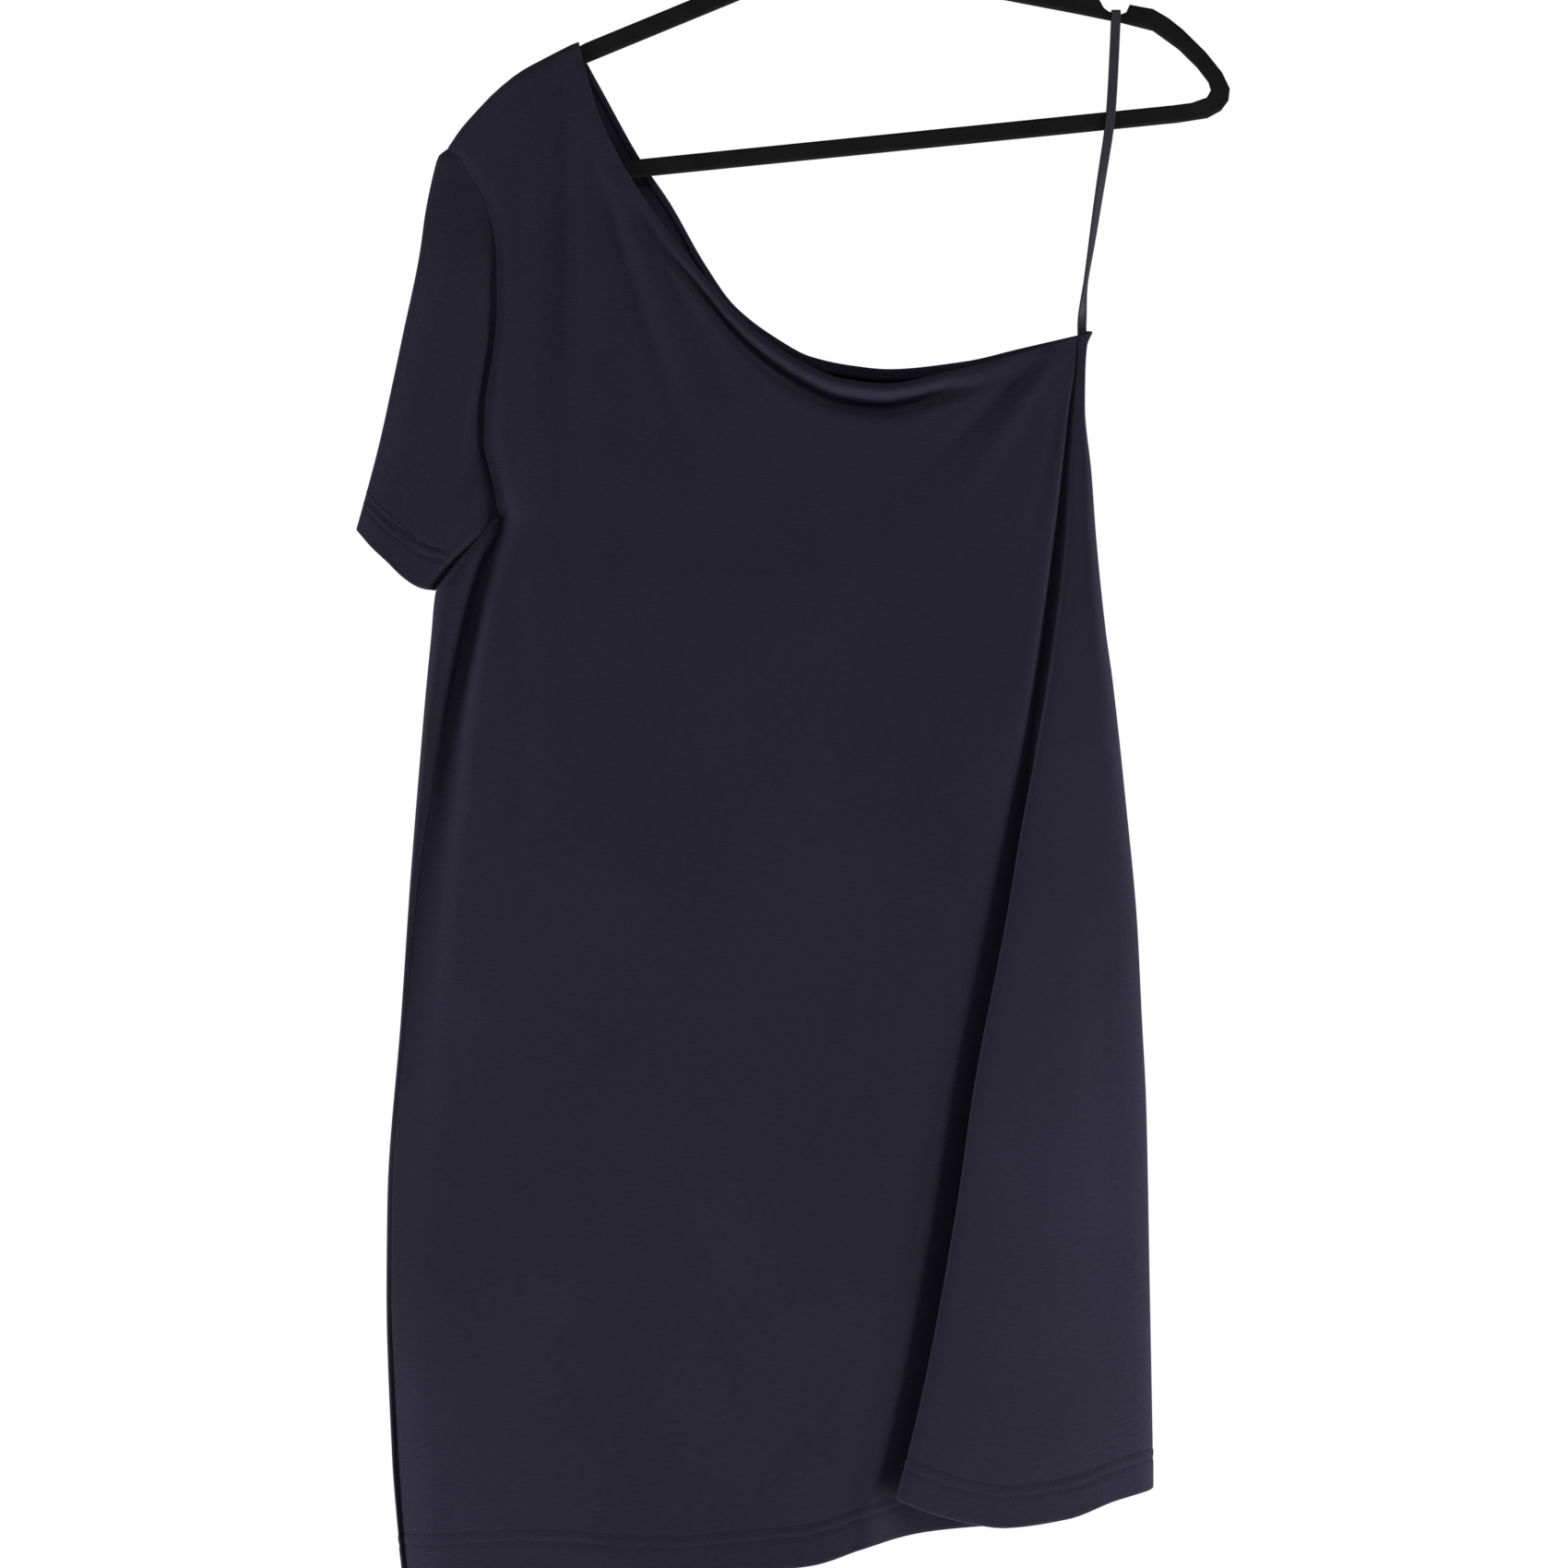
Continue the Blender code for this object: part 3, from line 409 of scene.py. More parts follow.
# The rolled neckline: a ridge just under the edge and a trough beneath it, fading out sideways
COWL = dict(middle=6.0, reach=76.0, ridge=2.4, ridge_at=4.0, ridge_width=4.0, trough=8.6,
            trough_at=11.4, trough_width=3.9)

# Organ-pipe folds of the back panel, which start below the shoulder blades and deepen to the hem
BACK_PIPES = dict(top=-420.0, bottom=-985.0, height=14.0, top_wave=96.0, bottom_wave=132.0,
                  top_middle=-10.0, bottom_middle=-28.0, clear_of_sides=34.0)
BACK_FOLDS = (
    dict(start=(-134, -150), end=(-128, -330), width=11, height=1.4),
    dict(start=(-108, -190), end=(-60, -360), width=10, height=1.5),
    dict(start=(-96, -215), end=(-48, -350), width=7, height=-1.1),
    dict(start=(132, -310), end=(60, -350), width=9, height=1.4),
    dict(start=(146, -318), end=(118, -400), width=8, height=1.2),
    dict(start=(140, -330), end=(96, -400), width=7, height=-1.0),
    dict(start=(-186, -420), end=(-120, -470), width=10, height=1.1),
    dict(start=(-190, -450), end=(-150, -540), width=9, height=-0.9),
)

# Top fold and underarm fold of the sleeve, from the armhole (0) to the sleeve hem (1)
SLEEVE_TOP_FOLD = Rows(
    "t x z",
    (0.0, -203.6, -182.8),
    (0.03, -209.3, -187.6),
    (0.06, -211.0, -193.0),
    (0.17, -216.4, -218.0),
    (0.28, -220.0, -243.0),
    (0.47, -229.4, -287.5),
    (0.60, -235.2, -314.6),
    (0.76, -243.0, -349.5),
    (0.90, -250.8, -379.0),
    (1.0, -256.0, -397.9),
)

SLEEVE_UNDERARM = Rows(
    "t x z",
    (0.0, -175.3, -394.8),
    (0.12, -180.5, -398.6),
    (0.36, -190.4, -408.3),
    (0.66, -201.8, -420.5),
    (1.0, -210.7, -432.8),
)

SLEEVE_HEM = Rows(
    "s x z",
    (0.0, -256.0, -397.9),
    (0.22, -246.5, -408.5),
    (0.42, -237.5, -416.8),
    (0.62, -228.6, -425.4),
    (0.80, -220.6, -430.6),
    (1.0, -210.7, -432.8),
)

SLEEVE_HALF_DEPTH = Rows(
    "t top under",
    (0.0, 4.7, 6.5),
    (0.3, 5.6, 6.8),
    (0.7, 6.6, 7.0),
    (1.0, 7.2, 7.2),
)

# The sleeve's front: how far it stands out, and falls back towards the armhole and its outer fold, each
# with its half width
SLEEVE_FORM = Rows(
    "z raised fall fall_half round round_half",
    (-190, 0.0, 0.0, 16, 0.0, 12),
    (-215, 1.0, 1.4, 18, 2.0, 12),
    (-250, 2.4, 4.0, 20, 4.0, 12),
    (-330, 3.4, 6.4, 21, 5.4, 12),
    (-400, 3.2, 6.0, 21, 5.4, 13),
)

# Soft folds of the sleeve, which are a little lower on its back
REAR_FOLDS = 0.8
SLEEVE_FOLDS = (
    dict(start=(-186, -225), end=(-188, -372), width=5, height=0.7),
    dict(start=(-196, -205), end=(-214, -360), width=9, height=0.9),
    dict(start=(-184, -300), end=(-206, -400), width=7, height=-0.8),
    dict(start=(-180, -372), end=(-214, -410), width=6, height=0.9),
)

# The front strand of the hanging loop, from inside the corner up to the notch, with its twist in degrees
RIBBON_ROUTE = (
    dict(x=154.0, z=-288.6, y=-0.95, twist=0),
    dict(x=153.8, z=-283.0, y=-1.1, twist=4),
    dict(x=154.4, z=-275.0, y=-2.1, twist=34),
    dict(x=155.7, z=-261.0, y=-3.4, twist=76),
    dict(x=158.6, z=-243.8, y=-3.5, twist=58),
    dict(x=162.2, z=-218.8, y=-3.6, twist=40),
    dict(x=166.1, z=-193.2, y=-3.6, twist=22),
    dict(x=169.2, z=-174.0, y=-3.6, twist=6),
    dict(x=170.6, z=-160.0, y=-3.6, twist=0),
    dict(x=172.0, z=-134.0, y=-3.6, twist=0),
    dict(x=173.1, z=-108.9, y=-3.6, twist=0),
)
RIBBON_HALF_WIDTH = 2.5
RIBBON_STAND_OFF = 3.6
RIBBON_COLUMNS = 7
RIBBON_TOP_ROWS = 14

# Rows of cloth points, by their distance from the top edge or the hem where they have one: those near the
# top edge, the turned allowance behind it, those down the skirt, those in the hem's band, and its turn
TOP_ROWS = (0, 0.4, 0.9, 1.5, 2.2, 3, 4, 5, 6.5, 8, 10, 12, 14.5, 17, 20, 24, 28, 32, 36)
TOP_ALLOWANCE_ROWS = (7.0, 4.5, 2.0, 0.6)
SKIRT_ROWS = 180
HEM_ROWS = 24
HEM_BAND = 30.0
HEM_TURN_ROWS = (0.6, 2.5, 6.0, 12.0, 18.0, 22.0)

# Columns of a side seam's allowance, by their distance from its edge, and how far the allowance of the left
# side and the armhole leans for each millimetre inwards
SIDE_ALLOWANCE = (0.6, 2.5, 5.0)
ALLOWANCE_LEAN = 0.1

# Columns of cloth along each panel. Their places go by this share by length, and for the rest by the nodes,
# which lie close together where the section turns
BY_LENGTH = 0.72
FRONT_COLUMNS = 176
BACK_COLUMNS = 150

# Rows and columns of the sleeve: those beside its armhole and at its hem are given by their distance. At the
# hem's turn the cloth goes on by this share of the last row's step
SLEEVE_ROWS = 46
ARMHOLE_ROWS = (0, 0.7, 1.4, 2.2, 3.2, 4.5, 6.0)
SLEEVE_HEM_ROWS = tuple(np.arange(27.0, -0.1, -0.9))
SLEEVE_TURN = 0.2
SLEEVE_SIDE_COLUMNS = 44
SLEEVE_FOLD_COLUMNS = 7

# Between the top rows and the hem, the rows crowd together beside the armpit: its share of the way down,
# the half width of the crowd, and how many more rows there are than elsewhere
ARMPIT_ROWS = dict(share=0.26, half=0.04, more=2.5)

# The turned hem's step and its rows of stitches, which sink in by this much over this half width
HEM_STEP = 0.35
STITCH_SINK = 0.5
STITCH_SINK_HALF = 1.1

# Stitches lie this far above the cloth, and lean along their line as read this far before and behind them
STITCH_LIFT = 0.05
STITCH_REACH = 0.5

# A closed piece's two edges are joined where they meet within this many metres
JOINED_WITHIN = 0.00001

# The stage, in metres: the floor below the hem, the softboxes and the point that they are turned to, and
# what the camera has in the middle of its picture
FLOOR_DROP = 0.64
FLOOR_RADIUS = 2.6
SOFTBOXES = {
    "left": dict(place=(-1.3, -0.42, -1.25), size=(0.5, 1.7)),
    "right": dict(place=(1.0, -0.28, -1.3), size=(0.5, 1.7)),
    "top": dict(place=(-0.2, -1.3, 1.1), size=(1.2, 0.8)),
}
LIT_POINT = (0, 0, -0.55)
VIEW_MIDDLE = (-0.0143, -0.5422)


def smoothstep(value, start, end):
    """0 at start, 1 at end, with soft ends."""
    f = np.clip((value - start) / (end - start), 0.0, 1.0)
    return f * f * (3 - 2 * f)


def blend(first, second, share):
    return first * (1 - share) + second * share


def mound(offset, half_width, power=2):
    """1 on a line, and dying away on both sides of it. A higher power is flatter on top and then steeper."""
    return np.exp(-(np.abs(offset / half_width) ** power))


def spline_weights(f):
    """Weights, in sixths, of four nodes in a row at a place f along the stretch between the middle two."""
    return (1 - f) ** 3, 3 * f**3 - 6 * f**2 + 4, -3 * f**3 + 3 * f**2 + 3 * f + 1, f**3


def right_side(z):
    """Middle of the wall at the viewer's right."""
    return RIGHT_OUTLINE.at("x", z) - SIDE_WALL


def left_side(z):
    """Middle of the wall at the viewer's left, below the armpit."""
    return LEFT_OUTLINE.at("x", z) + SIDE_WALL


def depth(face, x, z):
    """How far the front or back panel stands from the hanger's plane."""
    start, end = LEFT_EDGE.at("x", z), right_side(z)
    s = np.clip((x - start) / (end - start), 0.0, 1.0)
    sides = blend(DEPTH.at(face + "_left", z), DEPTH.at(face + "_right", z), s)
    return sides + DEPTH.at(face + "_belly", z) * np.sin(math.pi * s)


def evened(z):
    """How far the sides are one smooth round: 0 near the armpit, where they are drawn in, and 1 below."""
    return smoothstep(-z, 480, 740)


# How the valley's sides go down, as shares of its width and of its depth
VALLEY_SIDE = ((0.0, 0.1), (0.1, 0.4), (0.2, 0.8), (0.35, 1.0))


def valley_nodes(fold, panel_y, flap_y):
    """The wedge fold where it starts: an open valley between the panel's roll and the flap."""
    width = fold["edge"] - fold["roll"]
    bottom = panel_y + fold["drop"]
    nodes = [(fold["roll"] - 2, panel_y)]
    nodes += [(fold["roll"] + a * width, blend(panel_y, bottom, b)) for a, b in VALLEY_SIDE]
    nodes += [(fold["roll"] + 0.5 * width, bottom + 0.05 * fold["drop"])]
    nodes += [(fold["edge"] - a * width, blend(flap_y, bottom, b)) for a, b in reversed(VALLEY_SIDE)]
    nodes += [(fold["edge"] + 2, flap_y)]
    return nodes


def lying_nodes(fold, panel_y, flap_y):
    """The wedge fold lower down: the panel passes behind the flap, turns in the tuck and comes back."""
    width = fold["edge"] - fold["roll"]
    over = fold["tuck"] - fold["edge"]
    behind = panel_y + fold["drop"]
    return [
        (fold["roll"] - 5, panel_y),
        (fold["roll"] + 0.35 * width, blend(panel_y, behind, 0.2)),
        (fold["edge"] + 1, blend(panel_y, behind, 0.75)),
        (fold["edge"] + 0.5 * over, behind),
        (fold["tuck"], behind),
        (fold["tuck"] + 3, behind - FOLD_LAYER_GAP / 2),
        (fold["tuck"], behind - FOLD_LAYER_GAP),
        (fold["edge"] + 0.5 * over, behind - FOLD_LAYER_GAP - 1),
        (fold["edge"] + 2.5, flap_y + 3.6),
        (fold["edge"] - 2, flap_y + 2),
        (fold["edge"] + 2.5, flap_y),
    ]


def blend_nodes(first, second, share):
    return [(blend(a[0], b[0], share), blend(a[1], b[1], share)) for a, b in zip(first, second)]


# How many nodes a front section has in its even part, in its wedge fold and on the flap, and which ones are
# the fold's first, its tuck and the flap's edge
PANEL_NODES = 7
WEDGE_NODES = 11
FLAP_NODES = 4
FIRST_WEDGE_NODE = 3 + PANEL_NODES
TUCK_NODE = FIRST_WEDGE_NODE + 5
EDGE_NODE = FIRST_WEDGE_NODE + 9
LAST_FRONT_NODE = FIRST_WEDGE_NODE + WEDGE_NODES + FLAP_NODES + 1


def front_nodes(z):
    """Nodes of the front panel's sections at these heights, from the left edge to the right side seam."""
    left, left_y = LEFT_EDGE.at("x", z), LEFT_EDGE.at("y", z)
    right = right_side(z)
    fold = {name: WEDGE.at(name, z) for name in WEDGE.columns if name != "z"}
    panel_y = -depth("front", fold["roll"], z)
    flap_y = panel_y - fold["proud"]
    near_seam = -depth("front", left + SEAM_RISE, z)
    even = evened(z)
    nodes = [
        (left + SEAM_GAP, left_y),
        (left + SEAM_FLAT, blend(left_y, near_seam, 0.22 * even)),
        (left + SEAM_RISE, blend(left_y, near_seam, 0.8 - 0.2 * even)),
    ]
    for share in np.linspace(0, 1, PANEL_NODES):
        x = blend(PANEL_START.at("x", z), fold["roll"] - PANEL_FROM_ROLL, share)
        nodes.append((x, -depth("front", x, z)))
    valley = valley_nodes(fold, panel_y, flap_y)
    lying = lying_nodes(fold, panel_y, flap_y)
    nodes += blend_nodes(valley, lying, fold["lie"])
    flap_start = fold["edge"] + 3
    turn = np.minimum(RIGHT_TURN, 0.3 * (right - flap_start))
    for share in np.linspace(0, 1, FLAP_NODES + 1)[1:]:
        x = blend(flap_start, right - turn, share)
        s = (x - flap_start) / (right - flap_start)
        nodes.append((x, blend(flap_y, -depth("front", right, z), s) * (1 - FLAP_FALL * even * s**3)))
    side = DEPTH.at("front_right", z)
    nodes += [(right, -blend(0.45, 0.34, even) * side), (right, np.full_like(z, -SEAM_GAP))]
    return np.array(nodes)


# How many nodes a back section has in its even part and from there to its left edge
BACK_PANEL_NODES = 11
WRAP_NODES = 7
LAST_BACK_NODE = 2 + BACK_PANEL_NODES + WRAP_NODES

# The back panel's nodes beside the armhole, from its edge. At the armpit they have closed up, with the even
# part's end, and the cloth there is this much fuller
ARMHOLE_STEPS = (30, 24, 18, 12, 8, 3)
NEAR_ARMPIT = dict(end=16.0, steps=(10, 7.5, 5.5, 3.5, 2, 1), fuller=0.85)

# Above this level the back's even part ends as far over as here, clear of the shoulder's slope
SHOULDER_FOOT = -250.0


def back_nodes(z):
    """Nodes of the back panel's sections, from the right side seam round the back to its left edge.

    Above the armpit it ends at the armhole. Below, it wraps forward round the left side to the seam."""
    right, edge_x, edge_y = right_side(z), LEFT_EDGE.at("x", z), LEFT_EDGE.at("y", z)
    side = DEPTH.at("back_right", z)
    turn = np.minimum(RIGHT_TURN, 0.3 * (right - WEDGE.at("edge", z)))
    even = evened(z)
    nodes = [
        (right, np.full_like(z, SEAM_GAP)),
        (right, 0.45 * side),
        (right - turn, side * (1 - BACK_FALL * even)),
    ]
    outline = left_side(z)
    wrap_top = ARMPIT[1] + WRAP_START
    wrapped = smoothstep(-z, -wrap_top, -wrap_top + WRAP_LENGTH)
    near = smoothstep(-z, -ARMPIT[1] - CLOSING_START, -ARMPIT[1])
    from_armhole = blend(BACK_FROM_ARMHOLE, NEAR_ARMPIT["end"], near)
    armhole_end = LEFT_EDGE.at("x", np.minimum(z, SHOULDER_FOOT)) + from_armhole
    panel_end = blend(armhole_end, outline + BACK_FROM_OUTLINE, wrapped)
    for share in np.linspace(0, 1, BACK_PANEL_NODES):
        x = blend(right - turn - BACK_FROM_TURN, panel_end, share)
        nodes.append((x, depth("back", x, z)))
    back = depth("back", outline + SIDE_ROUND, z)
    open_y = np.maximum(0.9, -edge_y)
    steps = [blend(far, close, near) for far, close in zip(ARMHOLE_STEPS, NEAR_ARMPIT["steps"])]
    fuller = 1 - NEAR_ARMPIT["fuller"] * near
    straight = [(edge_x + step, blend(open_y, back, (step / ARMHOLE_STEPS[0]) ** fuller)) for step in steps]
    width = edge_x - outline
    roll = np.minimum(FRONT_ROUND, 2 + 0.3 * (wrap_top - z))
    round_side = [
        (outline + SIDE_ROUND, back),
        (outline + 2.5, 0.85 * back),
        (outline, 0.35 * back),
        (outline, -0.35 * roll),
        (outline + 0.35 * width, -roll * (1 - 0.1 * even)),
        (edge_x - np.minimum(2.5, 0.4 * width), edge_y),
    ]
    nodes += blend_nodes(straight, round_side, wrapped)
    nodes.append((edge_x - wrapped * SEAM_GAP, blend(open_y, edge_y, wrapped)))
    return np.array(nodes)


class Sections:
    """The level sections of one panel, read at any place along them and any height."""

    BOTTOM, TOP, STEP = -1000.0, -110.0, 1.0
    # The top edge lies between these levels all along
    LOWEST_TOP, HIGHEST_TOP = -340.0, -115.0

    def __init__(self, nodes_at, last):
        self.last = float(last)
        self.levels = np.arange(self.BOTTOM, self.TOP, self.STEP)
        nodes = nodes_at(self.levels).transpose(2, 0, 1)
        start = 2 * nodes[:, :1] - nodes[:, 1:2]
        end = 2 * nodes[:, -1:] - nodes[:, -2:-1]
        self.nodes = np.concatenate([start, nodes, end], axis=1)

    def at(self, t, z):
        """x and y of the cubic B-spline that the nodes guide, at places t and heights z."""
        level = (z - self.levels[0]) / self.STEP
        low = np.clip(np.floor(level).astype(int), 0, len(self.levels) - 2)
        share = (level - low)[..., None]
        i = np.clip(np.floor(t).astype(int), 0, int(self.last) - 1)
        f = t - i
        point = 0.0
        for k, weight in enumerate(spline_weights(f)):
            node = blend(self.nodes[low, i + k], self.nodes[low + 1, i + k], share)
            point = point + weight[..., None] * node / 6
        return point[..., 0], point[..., 1]

    def tops(self, top_edge, t):
        """Heights at which these columns meet the panel's top edge, found by halving."""
        low, high = np.full(len(t), self.LOWEST_TOP), np.full(len(t), self.HIGHEST_TOP)
        for _ in range(16):
            z = (low + high) / 2
            above = z > top_edge.at("z", self.at(t, z)[0])
            high, low = np.where(above, z, high), np.where(above, low, z)
        return (low + high) / 2

    def column_through(self, x, z):
        """The column that passes through x at this height, found by halving."""
        rising = self.at(np.array([self.last]), np.array([z]))[0] > self.at(np.zeros(1), np.array([z]))[0]
        low, high = 0.0, self.last
        for _ in range(18):
            t = (low + high) / 2
            if (self.at(np.array([t]), np.array([z]))[0] < x) == rising:
                low = t
            else:
                high = t
        return (low + high) / 2

    def columns(self, count, top_edge, middle=-700.0):
        """Column places, closer together where the section turns tightly and at the neck point."""
        fine = np.linspace(0, self.last, 1200)
        x, y = self.at(fine, np.full(len(fine), middle))
        length = np.concatenate([[0], np.cumsum(np.hypot(np.diff(x), np.diff(y)))])
        pace = BY_LENGTH * length / length[-1] + (1 - BY_LENGTH) * fine / self.last
        places = np.interp(np.linspace(0, 1, count - len(NECK_STEPS)), pace, fine)
        neck = [self.column_through(NECK_POINT[0] + step, top_edge.at("z", NECK_POINT[0] + step))
                for step in NECK_STEPS]
        clear = 0.35 * (places[1] - places[0])
        kept = [t for t in places if t < min(neck) - clear or t > max(neck) + clear]
        return np.sort(np.array(kept + neck))


def soft_line(fold, x, z):
    """Height at x, z of one soft fold, which rises soon after its start and dies out down its length."""
    (x0, z0), (x1, z1) = fold["start"], fold["end"]
    length = math.hypot(x1 - x0, z1 - z0)
    along = ((x - x0) * (x1 - x0) + (z - z0) * (z1 - z0)) / length
    across = ((x - x0) * (z1 - z0) - (z - z0) * (x1 - x0)) / length
    ends = np.sin(math.pi * np.sqrt(np.clip(along / length, 0.0, 1.0)))
    return fold["height"] * ends * mound(across, fold["width"])


def cowl(x, below_edge):
    """The neckline's soft roll and the trough under it."""
    sideways = mound(x - COWL["middle"], COWL["reach"], 4)
    ridge = COWL["ridge"] * mound(below_edge - COWL["ridge_at"], COWL["ridge_width"])
    trough = COWL["trough"] * mound(below_edge - COWL["trough_at"], COWL["trough_width"])
    return sideways * (ridge - trough)


def pipes(x, z):
    """Height of the back panel's organ-pipe folds."""
    down = np.clip((z - BACK_PIPES["top"]) / (BACK_PIPES["bottom"] - BACK_PIPES["top"]), 0.0, 1.0)
    wave = blend(BACK_PIPES["top_wave"], BACK_PIPES["bottom_wave"], down)
    middle = blend(BACK_PIPES["top_middle"], BACK_PIPES["bottom_middle"], down)
    clear = BACK_PIPES["clear_of_sides"]
    sides = smoothstep(x, left_side(z) + clear / 3, left_side(z) + 2 * clear)
    sides = sides * smoothstep(-x, -right_side(z) + clear / 3, -right_side(z) + 2 * clear)
    return BACK_PIPES["height"] * down * sides * np.cos(math.tau * (x - middle) / wave)


def turned_over_arm(x, y, z):
    """Brings a panel over the hanger's arm to the shoulder seam, whose line runs on up the arm."""
    line = FRONT_TOP.at("z", np.minimum(x, NECK_POINT[0])) + ARM_RISE * np.maximum(x - NECK_POINT[0], 0)
    out = np.maximum(np.abs(y), SEAM_GAP)
    down = np.clip((line - z) / out, 0.0, 1.0)
    return y * np.maximum(np.sqrt(1 - (1 - down) ** 2), SEAM_GAP / out)


def trough(x, z):
    """How far the cloth is drawn in beside the armhole and the left side seam.

    It never comes more than a millimetre behind the hanger's plane."""
    beside = x - LEFT_EDGE.at("x", z)
    beside = np.where(beside > 0, beside, beside / TROUGH_OUTSIDE)
    deep = np.minimum(TROUGH.at("deep", z), 1.0 - LEFT_EDGE.at("y", z))
    return deep * mound(beside - TROUGH.at("middle", z), TROUGH.at("half", z), 3)


def front_relief(t, x, z, below_edge):
    """How far the front panel's folds stand towards the viewer."""
    on_panel = 1 - smoothstep(t, FIRST_WEDGE_NODE - 0.5, FIRST_WEDGE_NODE + 0.5)
    beyond_edge = smoothstep(t, EDGE_NODE + 1.5, EDGE_NODE + 3)
    on_flap = beyond_edge * (1 - smoothstep(t, LAST_FRONT_NODE - 2, LAST_FRONT_NODE - 1))
    panel = sum(soft_line(fold, x, z) for fold in FRONT_FOLDS) + cowl(x, below_edge)
    flap = sum(soft_line(fold, x, z) for fold in FLAP_FOLDS)
    beside_roll = mound(x - WEDGE.at("roll", z), ROLL_FALL["half"])
    roll_fall = ROLL_FALL["deep"] * beside_roll * smoothstep(-z, ROLL_FALL["start"], ROLL_FALL["full"])
    return on_panel * (panel - trough(x, z) - roll_fall) + on_flap * flap


def back_relief(t, x, z, below_edge):
    """How far the back panel's folds stand away from the viewer."""
    on_panel = 1 - smoothstep(t, 2 + BACK_PANEL_NODES, 3 + BACK_PANEL_NODES)
    on_wrap = smoothstep(t, LAST_BACK_NODE - 4, LAST_BACK_NODE - 2) * smoothstep(-z, 400, 420)
    folds = pipes(x, z) + sum(soft_line(fold, x, z) for fold in BACK_FOLDS)
    return on_panel * folds + on_wrap * trough(x, z)


def front_hem(sections, t):
    """Heights of the front hem: along the panel, back along the tuck, then along the flap."""
    def x_at(place):
        return sections.at(place, np.full(len(place), HEM_LEVEL))[0]

    x = x_at(t)
    tuck_x, edge_x = x_at(np.array([float(TUCK_NODE), float(EDGE_NODE)]))
    share = (tuck_x - x) / (tuck_x - edge_x)
    back_along = blend(FRONT_HEM.at("z", tuck_x), FLAP_HEM.at("z", edge_x), share)
    along = np.where(t <= TUCK_NODE, FRONT_HEM.at("z", x), back_along)
    return np.where(t >= EDGE_NODE, FLAP_HEM.at("z", x), along)


def back_hem(sections, t):
    return BACK_HEM.at("z", sections.at(t, np.full(len(t), HEM_LEVEL))[0])


def hem_relief(above_hem, sizes):
    """The turned hem stands a little proud, and its two rows of stitches sink into it."""
    step = HEM_STEP * (1 - smoothstep(above_hem, sizes["hem"] - 1, sizes["hem"] + 2))
    rows = sum(mound(above_hem - row, STITCH_SINK_HALF) for row in sizes["needles"])
    return step - STITCH_SINK * rows


def normals_of(points):
    """Unit normals of a grid of points, on the side that the cloth shows."""
    across = np.gradient(points, axis=1)
    down = np.gradient(points, axis=0)
    normal = np.cross(down, across)
    length = np.linalg.norm(normal, axis=2, keepdims=True)
    return normal / np.maximum(length, 1e-9)


def column_heights(top, hem):
    """Heights of each column's points, from its top edge to its hem: rows by columns."""
    even = np.linspace(0, 1, 400)
    crowding = 1 + ARMPIT_ROWS["more"] * mound(even - ARMPIT_ROWS["share"], ARMPIT_ROWS["half"])
    pace = np.concatenate([[0], np.cumsum((crowding[1:] + crowding[:-1]) / 2)])
    skirt = np.interp(np.linspace(0, 1, SKIRT_ROWS + 1)[1:], pace / pace[-1], even)
    hem_band = np.linspace(HEM_BAND, 0, HEM_ROWS + 1)[1:]
    upper = [top - row for row in TOP_ROWS]
    middle = [blend(top - TOP_ROWS[-1], hem + HEM_BAND, share) for share in skirt]
    return np.array(upper + middle + [hem + row for row in hem_band])


def above_panel_hem(points):
    """How high each point of a panel is above its own column's hem."""
    return points[:, :, 2] - points[-1, :, 2]


def above_sleeve_hem(points):
    """How far each point of the sleeve is from the hem, down its own column."""
    steps = np.linalg.norm(np.diff(points, axis=0), axis=2)
    return np.concatenate([np.cumsum(steps[::-1], axis=0)[::-1], np.zeros((1, points.shape[1]))])


def line_where(points, measure, distance):
    """The line across a grid of points where the measure comes nearest this distance, with its normals."""
    row = np.argmin(np.abs(measure - distance), axis=0)
    columns = np.arange(points.shape[1])
    return points[row, columns], normals_of(points)[row, columns]


def inner_layer(points, measure, distances, layer):
    """Lines one layer of cloth behind a grid of points, where the measure comes nearest these distances."""
    lines = [line_where(points, measure, distance) for distance in distances]
    return [line - normals * layer for line, normals in lines]


def turned_edges(points, layer):
    """Adds the allowance behind the top edge and the turned hem's inner layer to a grid of points."""
    normals = normals_of(points)
    below_top = points[0, :, 2] - points[:, :, 2]
    behind_top = inner_layer(points, below_top, TOP_ALLOWANCE_ROWS, layer)
    top_turn = points[0] - normals[1] * layer / 2
    top_turn[:, 2] += 0.25 * layer
    hem_turn = points[-1] - normals[-2] * layer / 2
    hem_turn[:, 2] -= 0.5 * layer
    behind_hem = inner_layer(points, above_panel_hem(points), HEM_TURN_ROWS, layer)
    return np.concatenate([behind_top, [top_turn], points, [hem_turn], behind_hem])


def allowance(edge, lean, steps):
    """Columns beside an edge that turn in towards the hanger's plane and lean sideways, as sewn inside."""
    room = np.clip(np.abs(edge[:, 1]) / (SIDE_ALLOWANCE[-1] + 1), 0.05, 1.0)
    inward = np.stack([np.full(len(edge), lean), -np.sign(edge[:, 1]), np.zeros(len(edge))], axis=1)
    return np.stack([edge + inward * (room * step)[:, None] for step in steps], axis=1)


def turned_right_side(edge):
    """Columns beside the right side seam, whose allowance lies flat inside the dress."""
    return np.stack([edge - np.array((step, 0.0, 0.0)) for step in SIDE_ALLOWANCE], axis=1)


